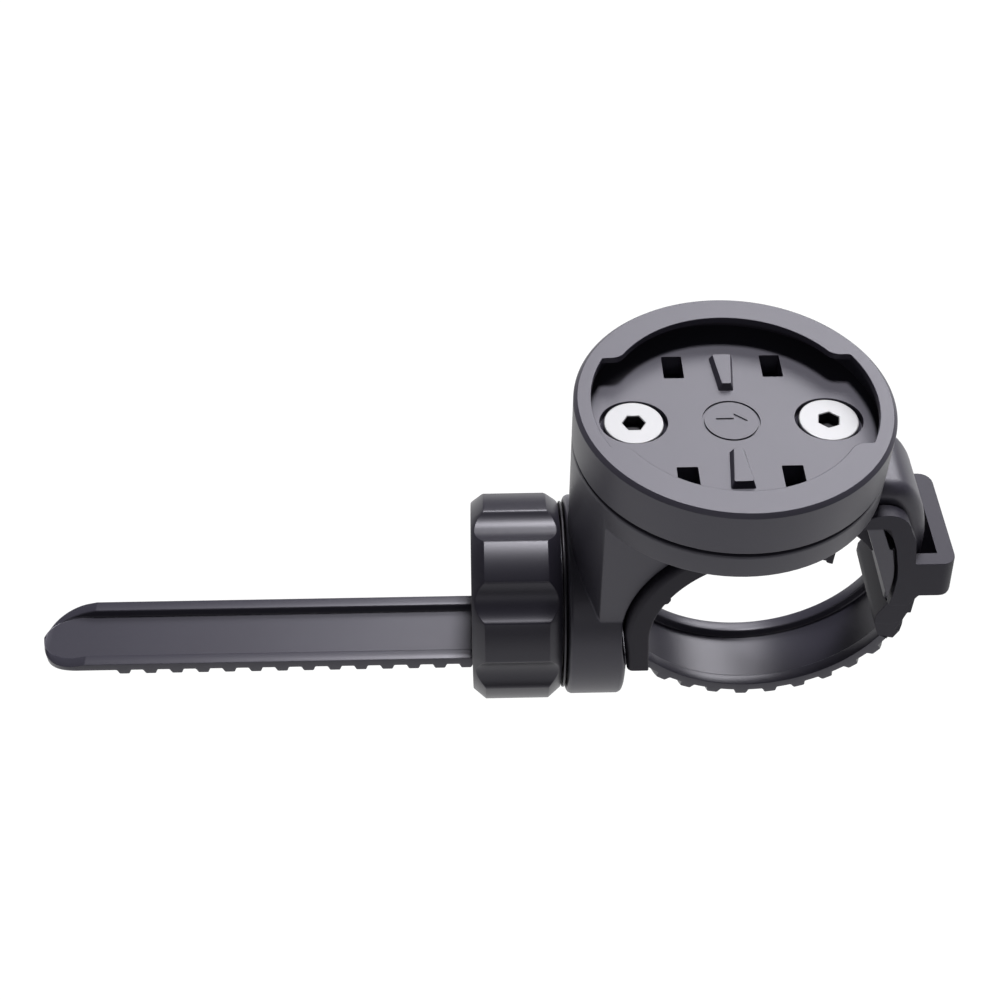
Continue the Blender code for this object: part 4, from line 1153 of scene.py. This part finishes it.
@dataclass
class ToothedStrap:
    """The strap: a tail with two rails and teeth, a loop round the bar, and a frame-shaped end."""

    half: float = 5.83 * MM
    rail_width: float = 1.73 * MM
    channel_depth: float = 1.2 * MM
    channel_draft: float = 0.12 * MM
    channel_radii: tuple[float, ...] = (0.0, 0.2 * MM, 0.3 * MM, 0.3 * MM, 0.2 * MM, 0.0)
    rail_height: float = 1.7 * MM
    rail_least: float = 0.02 * MM
    rail_drop: float = 6.94 * MM
    shoulder: float = 0.12 * MM
    root_radius: float = 10.06 * MM
    pitch: float = 3.745 * MM
    tooth_base: float = 1.85 * MM
    tooth_tip: float = 1.5 * MM
    tip_x: float = -101.5 * MM
    first_tooth: float = 12.3 * MM
    loop_tooth_angle: float = 268.75
    loop_tooth_step: float = 11.25
    loop_tooth_margin: float = 4.0
    loop_radius: float = 19.75 * MM
    bend_radius: float = 8.0 * MM
    seam_angle: float = -26.8
    fade: tuple[float, float] = (-0.5 * MM, 6.9 * MM)
    step: float = 0.115 * MM
    end_edge: float = 0.09 * MM
    end_edge_angle: float = 50.0

    @property
    def bend_centre_z(self) -> float:
        """Height of the bend's centre."""
        return SIZES.knob_axis_z - self.rail_drop - self.bend_radius

    def turns(self) -> tuple[float, float, float]:
        """Finds where the bend starts and ends along the strap, and the loop's angle at its end.

        The tail and the loop meet where the bend's radius and the loop's radius lie on one line
        through both centres.

        Returns:
            Two distances from the tip, and an angle in radians.
        """
        low = self.bend_centre_z
        bend_x = -math.sqrt((self.loop_radius + self.bend_radius) ** 2 - low**2)
        straight = bend_x - self.tip_x
        bend_end = straight + math.atan2(-bend_x, -low) * self.bend_radius
        return straight, bend_end, math.atan2(low, bend_x) % math.tau

    def course(self) -> tuple[Array, Array, Array]:
        """Line of the rail tops, from the tip, along the tail, round the bend and the loop.

        A straight run is followed by an arc of the bend radius about a point below it, and by an
        arc of the loop radius about the bar's centre.

        Returns:
            Distances, points (n, 2) in X and Z, and unit directions (n, 2) that the rails face.
        """
        straight, bend_end, loop_start = self.turns()
        total = bend_end + (math.radians(360.0 + self.seam_angle) - loop_start) * self.loop_radius
        distance = np.linspace(0.0, total, round(total / self.step) + 1)
        on_bend = (np.clip(distance, straight, bend_end) - straight) / self.bend_radius
        on_loop = loop_start + np.maximum(distance - bend_end, 0.0) / self.loop_radius
        facing_bend = np.stack([np.sin(on_bend), np.cos(on_bend)], -1)
        along = self.tip_x + np.minimum(distance, straight)
        centre = np.stack([along, np.full_like(along, self.bend_centre_z)], -1)
        outward = np.stack([np.cos(on_loop), np.sin(on_loop)], -1)
        looped = (distance > bend_end)[:, None]
        points = np.where(looped, self.loop_radius * outward, centre + self.bend_radius * facing_bend)
        return distance, points, np.where(looped, -outward, facing_bend)

    def tooth_middles(self) -> Array:
        """Places the teeth: even on the tail, at even angles on the loop, and even between.

        Returns:
            Distances of their middles from the tip.
        """
        straight, bend_end, loop_start = self.turns()
        tail = np.arange(self.first_tooth, straight - self.pitch / 2.0, self.pitch)
        start = math.degrees(loop_start)
        before = math.floor((self.loop_tooth_angle - start) / self.loop_tooth_step)
        first = self.loop_tooth_angle - before * self.loop_tooth_step
        last = 360.0 + self.seam_angle - self.loop_tooth_margin
        angles = np.arange(first, last, self.loop_tooth_step)
        loop = bend_end + self.loop_radius * np.radians(angles - start)
        between = max(round((loop[0] - tail[-1]) / self.pitch), 1)
        bend = np.linspace(tail[-1], loop[0], between + 1)[1:-1]
        return np.concatenate([tail, bend, loop])

    def belly_radius(self, distance: Array) -> Array:
        """Radius of the strap's underside: root, flank, tip, flank, with short rounded corners.

        Args:
            distance: Distances from the tip.

        Returns:
            The radius at each.
        """
        away = np.abs(distance[:, None] - self.tooth_middles()[None, :]).min(axis=1)
        flank = (self.tooth_base - self.tooth_tip) / 2.0
        rise = np.clip((self.tooth_base / 2.0 - away) / flank, 0.0, 1.0)
        rise = soften_steps(rise, 1, wrap=False)
        return self.root_radius + (SIZES.core_radius - self.root_radius) * rise

    def band(self) -> bpy.types.Mesh:
        """Carries a cross-section of two rails and a curved belly along the strap.

        Across is measured from the middle and depth from the rail tops.  The tip's half width is
        sqrt(w^2 - (w - distance)^2), the rails rise out of it on a ramp, and the belly's depth is
        sqrt(radius^2 - across^2) - drop.

        Returns:
            The closed mesh.
        """
        distance, points, facing = self.course()
        count = len(distance)
        half = np.sqrt(np.maximum(self.half**2 - np.maximum(self.half - distance, 0.0) ** 2, 1e-10))
        shrink = half / self.half
        start, end = self.fade
        top = self.rail_height * (1.0 - np.clip((distance - start) / (end - start), 0.0, 1.0))
        rail = np.minimum(top, self.channel_depth - self.rail_least)
        side = np.minimum(top, self.channel_depth - self.rail_least / 2.0)
        inner = (self.half - self.rail_width) * shrink
        foot = inner - self.channel_draft * shrink
        floor = self.channel_depth
        corners = sections(
            count, (-half, side), (-inner, rail), (-foot, floor), (foot, floor), (inner, rail), (half, side)
        )
        upper = rounded(corners, np.array(self.channel_radii), closed=False)[:, 1:-1]
        soft = self.shoulder * shrink
        right = sections(count, (half - soft, top), (half - 0.3 * soft, top + 0.3 * soft), (half, top + soft))
        left = right[:, ::-1] * (-1.0, 1.0)
        across = np.linspace(1.0, -1.0, 17) * half[:, None]
        depth = np.sqrt(self.belly_radius(distance)[:, None] ** 2 - across**2) - self.rail_drop
        belly = np.stack([across, depth], -1)
        section = np.concatenate([left, upper, right, belly], axis=1)
        across, depth = section[..., 0], section[..., 1]
        x, z = (points[:, None, i] - facing[:, None, i] * depth for i in (0, 1))
        return mesh_from_rings("strap_band", np.stack([x, across, z], -1))

    def end_frame(self) -> bpy.types.Object:
        """Merges a copy of the CAD strap and cuts it off where the plain band starts.

        Returns:
            The frame-shaped end.
        """
        obj = cad_copy("toothed_strap", "strap_end")
        round_edges(obj, self.end_edge, self.end_edge_angle)
        angle = math.radians(self.seam_angle)
        place = (self.loop_radius * math.cos(angle), 0.0, self.loop_radius * math.sin(angle))
        along = (-math.sin(angle), 0.0, math.cos(angle))
        bm = bmesh.new()
        bm.from_mesh(obj.data)
        everything = bm.verts[:] + bm.edges[:] + bm.faces[:]
        cut = bmesh.ops.bisect_plane(
            bm, geom=everything, plane_co=place, plane_no=along, clear_inner=True, dist=1e-7
        )
        rim = [e for e in cut["geom_cut"] if isinstance(e, bmesh.types.BMEdge)]
        bmesh.ops.holes_fill(bm, edges=rim, sides=0)
        bm.to_mesh(obj.data)
        bm.free()
        return obj

    def build(self) -> list[Piece]:
        """Builds the strap's two pieces.

        Returns:
            The band and the frame-shaped end.
        """
        band = new_object("strap_band", self.band())
        return [
            Piece(band, Body.MOUNT, Slot.STRAP, ("toothed_strap",)).settle(GRAPHITE_STRAP),
            # The end gets the strap's plastic darkened as painted shade
            Piece(self.end_frame(), Body.MOUNT, Slot.STRAP).settle(GRAPHITE_END_PAINTED_SHADE),
        ]


@dataclass
class Liner:
    """The rubber liner between the bracket and the handlebar."""

    inner: float = 16.0 * MM
    outer: float = 19.2 * MM
    half: float = 13.0 * MM
    tongue_half: float = 5.7 * MM
    reach: float = 6.3 * MM
    end_angle: float = 33.0
    tail: float = 6.7 * MM
    tail_lean: float = 0.4 * MM
    ribs: tuple[float, ...] = (151.3, 68.3)
    rib_height: float = 0.3 * MM
    rib_angle: float = 4.5
    inner_corner: float = 0.25 * MM
    outer_corner: float = 0.8 * MM
    tongue_steps: int = 24
    saddle_steps: int = 150
    tail_steps: int = 10

    def arc_points(self, radius: float, ribbed: bool) -> Array:
        """Points round the bar, from the tongue's end over the wide part to the tail.

        The angle runs to the plane where the wide part ends, and on to 180 degrees.  A rib is
        h (3 t^2 - 2 t^3) high, with t going from 0 to 1 over one degree.

        Args:
            radius: The circle's radius.
            ribbed: True for the inner side, which has the ribs.

        Returns:
            Points, shape (n, 2).
        """
        tongue = np.linspace(0.0, 1.0, self.tongue_steps)
        along = np.concatenate([tongue, np.linspace(1.0, 2.0, self.saddle_steps)])
        step = math.degrees(math.acos(self.reach / radius))
        degrees = np.interp(along, [0, 1, 2], [self.end_angle, step, 180.0])
        if not ribbed:
            return polar(radius, degrees)
        away = np.min([np.abs(degrees - rib) for rib in self.ribs], axis=0)
        t = np.clip(self.rib_angle / 2.0 - away, 0.0, 1.0)
        return polar(radius - self.rib_height * t * t * (3.0 - 2.0 * t), degrees)

    def build(self) -> Piece:
        """Carries a rounded rectangle along the bar's circle and down the straight tail.

        Each station joins an inner point to an outer one.  The two angles run apart towards the
        plane where the wide part ends, so that this end stands square to the bracket.

        Returns:
            The liner.
        """
        inside, outside = self.arc_points(self.inner, True), self.arc_points(self.outer, False)
        down = np.linspace(0.0, 1.0, self.tail_steps)[1:, None]
        foot_in = (self.tail_lean - self.inner, -self.tail)
        foot_out = (SIZES.boss_face + SIZES.gap, -self.tail)
        inside = np.concatenate([inside, inside[-1] + (foot_in - inside[-1]) * down])
        outside = np.concatenate([outside, outside[-1] + (foot_out - outside[-1]) * down])
        half = np.where(np.arange(len(inside)) < self.tongue_steps, self.tongue_half, self.half)
        thick = np.linalg.norm(outside - inside, axis=-1)
        corners = sections(len(inside), (0.0, -half), (thick, -half), (thick, half), (0.0, half))
        radii = np.array([self.inner_corner, self.outer_corner, self.outer_corner, self.inner_corner])
        section = rounded(corners, radii, 6)
        share = section[..., :1] / thick[:, None, None]
        flat = inside[:, None, :] + (outside - inside)[:, None, :] * share
        rings = np.stack([flat[..., 0], section[..., 1], flat[..., 1]], -1)
        obj = new_object("saddle_liner_fine", mesh_from_rings("saddle_liner_fine", rings))
        return Piece(obj, Body.MOUNT, Slot.LINER, ("saddle_liner",)).settle(RUBBER)


# Studio


@dataclass
class Lamp:
    """A soft rectangular lamp that looks at the object."""

    name: str
    azimuth: float
    elevation: float
    distance: float
    size: tuple[float, float]
    radiance: float
    aim: Point = (-20.0 * MM, 0.0, 0.0)

    def build(self) -> None:
        """Hangs the lamp at its direction; power = radiance times pi times area."""
        data = bpy.data.lights.new(self.name, "AREA")
        data.shape = "RECTANGLE"
        data.size, data.size_y = self.size
        data.energy = self.radiance * math.pi * self.size[0] * self.size[1]
        obj = bpy.data.objects.new(self.name, data)
        bpy.context.scene.collection.objects.link(obj)
        az, el = math.radians(self.azimuth), math.radians(self.elevation)
        away = Vector((math.cos(az) * math.cos(el), math.sin(az) * math.cos(el), math.sin(el)))
        obj.location = Vector(self.aim) + away * self.distance
        obj.rotation_euler = away.to_track_quat("Z", "Y").to_euler()
        obj.visible_camera = False


@dataclass
class Studio:
    """Camera, pale floor, world and lamps."""

    lens: float = 54.5249
    sensor: float = 36.0
    clip_start: float = 5.0 * MM
    elevation: float = 46.11
    roll: float = -0.363
    azimuth: float = -0.856
    shift: tuple[float, float] = (29.096 * MM, 12.519 * MM)
    distance: float = 187.881 * MM
    floor_z: float = -62.0 * MM
    floor_reach: float = 6.0
    floor_colour: Colour = (0.50, 0.50, 0.50)
    floor_glow: float = 1.08
    floor_glow_share: float = 0.95
    fill_colour: Colour = (0.93, 0.94, 1.0)
    fill: float = 0.05
    lamps: list[Lamp] = field(
        default_factory=lambda: [
            Lamp("key_lamp", 80.0, 69.5, 0.75, (0.12, 0.12), 105.0),
            Lamp("back_softbox", 75.0, 41.0, 0.75, (0.36, 0.26), 7.5),
            Lamp("front_softbox", 265.0, 24.0, 0.75, (0.40, 0.14), 1.8),
            Lamp("right_softbox", 50.0, 34.0, 0.80, (0.24, 0.38), 9.0),
        ]
    )

    def camera(self) -> None:
        """Places the camera as the photograph was taken."""
        az, el, roll = (math.radians(v) for v in (self.azimuth, self.elevation, self.roll))
        back = Vector((math.sin(az) * math.cos(el), -math.cos(az) * math.cos(el), math.sin(el)))
        right = Vector((math.cos(az), math.sin(az), 0.0))
        up = back.cross(right)
        side = math.cos(roll) * right + math.sin(roll) * up
        over = -math.sin(roll) * right + math.cos(roll) * up
        place = Matrix((side, over, back)).transposed().to_4x4()
        centre = Vector((SIZES.cup_x, 0.0, SIZES.cup_top))
        place.translation = (
            centre - self.shift[0] * side - self.shift[1] * over + self.distance * back
        )
        data = bpy.data.cameras.new("photo_camera")
        data.lens = self.lens
        data.sensor_width = self.sensor
        data.clip_start = self.clip_start
        obj = bpy.data.objects.new("photo_camera", data)
        bpy.context.scene.collection.objects.link(obj)
        obj.matrix_world = place
        bpy.context.scene.camera = obj

    def floor_material(self) -> bpy.types.Material:
        """Builds the floor's white.

        To the camera and in reflections it is mostly plain white, and the rest of it is lit, so
        that it keeps a faint shadow.  From below it is clear.

        Returns:
            The material.
        """
        made = bpy.data.materials.new("floor_white")
        made.use_nodes = True
        tree = made.node_tree
        lit = tree.nodes["Principled BSDF"]
        feed(tree, lit.inputs["Base Color"], (*self.floor_colour, 1.0))
        feed(tree, lit.inputs["Roughness"], 0.9)
        feed(tree, lit.inputs["Specular IOR Level"], 0.0)
        glow = tree.nodes.new("ShaderNodeEmission")
        feed(tree, glow.inputs["Strength"], self.floor_glow)
        light = tree.nodes.new("ShaderNodeLightPath")
        seen = math_node(tree, "MAXIMUM", light.outputs["Is Camera Ray"], light.outputs["Is Glossy Ray"])
        share = math_node(tree, "MULTIPLY", seen, self.floor_glow_share)
        above = shader_mix(tree, share, lit.outputs["BSDF"], glow.outputs["Emission"])
        clear = tree.nodes.new("ShaderNodeBsdfTransparent")
        face = tree.nodes.new("ShaderNodeNewGeometry")
        both = shader_mix(tree, face.outputs["Backfacing"], above, clear.outputs["BSDF"])
        feed(tree, tree.nodes["Material Output"].inputs["Surface"], both)
        return made

    def floor(self) -> None:
        """Lays a wide floor under the object."""
        corners = [(-1, -1), (1, -1), (1, 1), (-1, 1)]
        points = [(x * self.floor_reach, y * self.floor_reach, self.floor_z) for x, y in corners]
        mesh = bpy.data.meshes.new("floor")
        mesh.from_pydata(points, [], [(0, 1, 2, 3)])
        obj = new_object("floor", mesh)
        mesh.materials.append(self.floor_material())

    def world(self) -> None:
        """Makes the world white to the camera, and a plain grey light on the object."""
        world = bpy.data.worlds.new("studio_world")
        bpy.context.scene.world = world
        world.use_nodes = True
        tree = world.node_tree
        fill = tree.nodes["Background"]
        white = tree.nodes.new("ShaderNodeBackground")
        for node, colour, strength in ((fill, self.fill_colour, self.fill), (white, (1.0, 1.0, 1.0), 1.0)):
            feed(tree, node.inputs["Color"], (*colour, 1.0))
            feed(tree, node.inputs["Strength"], strength)
        light = tree.nodes.new("ShaderNodeLightPath")
        seen = light.outputs["Is Camera Ray"]
        both = shader_mix(tree, seen, fill.outputs["Background"], white.outputs["Background"])
        feed(tree, tree.nodes["World Output"].inputs["Surface"], both)

    def build(self) -> None:
        """Builds the whole studio."""
        bpy.context.scene.view_settings.view_transform = "Standard"
        self.camera()
        self.floor()
        self.world()
        for lamp in self.lamps:
            lamp.build()
        log.info("studio: camera, floor, world and %d lamps", len(self.lamps))


# The whole object


def cup_screw(side_name: str, side: int, turn: float) -> SocketScrew:
    """Describes one of the two screws that hold the cup.

    Args:
        side_name: left or right.
        side: -1 for the left one, 1 for the right one.
        turn: How far its socket is turned, in degrees.

    Returns:
        The screw.
    """
    return SocketScrew(
        node=f"cup_screw_{side_name}",
        centre=(SIZES.cup_x + side * SIZES.screw_offset, 0.0, SIZES.screw_top),
        axis=Axis.UP,
        head=SIZES.screw_head,
        rim=SIZES.screw_rim,
        shank=SIZES.screw_shank,
        length=SIZES.screw_length,
        socket=2.5 * MM,
        socket_depth=1.5 * MM,
        socket_turn=turn,
    )


def cap_screw() -> SocketScrew:
    """Describes the screw that holds the cap on the core.

    Returns:
        The screw.
    """
    return SocketScrew(
        node="cap_screw",
        centre=(SIZES.cap_left, 0.0, SIZES.knob_axis_z),
        axis=Axis.ALONG_STRAP,
        head=2.6 * MM,
        rim=0.02 * MM,
        shank=1.4 * MM,
        length=8.0 * MM,
        socket=2.0 * MM,
        socket_depth=1.0 * MM,
        socket_turn=0.0,
        sign=1.0,
        edge=0.08 * MM,
    )


def dress_inserts() -> None:
    """Gives the two brass inserts, which stay as CAD nodes, their finish."""
    for side_name in ("left", "right"):
        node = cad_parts[f"threaded_insert_{side_name}"]
        node.data.materials.clear()
        node.data.materials.append(BRASS.material())
        log.info("%s: CAD node with brass", node.name)


def main() -> None:
    """Builds the pieces in order, then the studio."""
    logging.basicConfig(level=logging.INFO, format="%(name)s: %(message)s")
    Receiver().build()
    cup_screw("left", -1, 0.0).build()
    cup_screw("right", 1, 20.0).build()
    Bracket().build()
    Knob().build()
    core = CoreParts()
    core.washer()
    core.cap()
    cap_screw().build()
    ToothedStrap().build()
    Liner().build()
    dress_inserts()
    Studio().build()


if __name__ == "__main__":
    main()
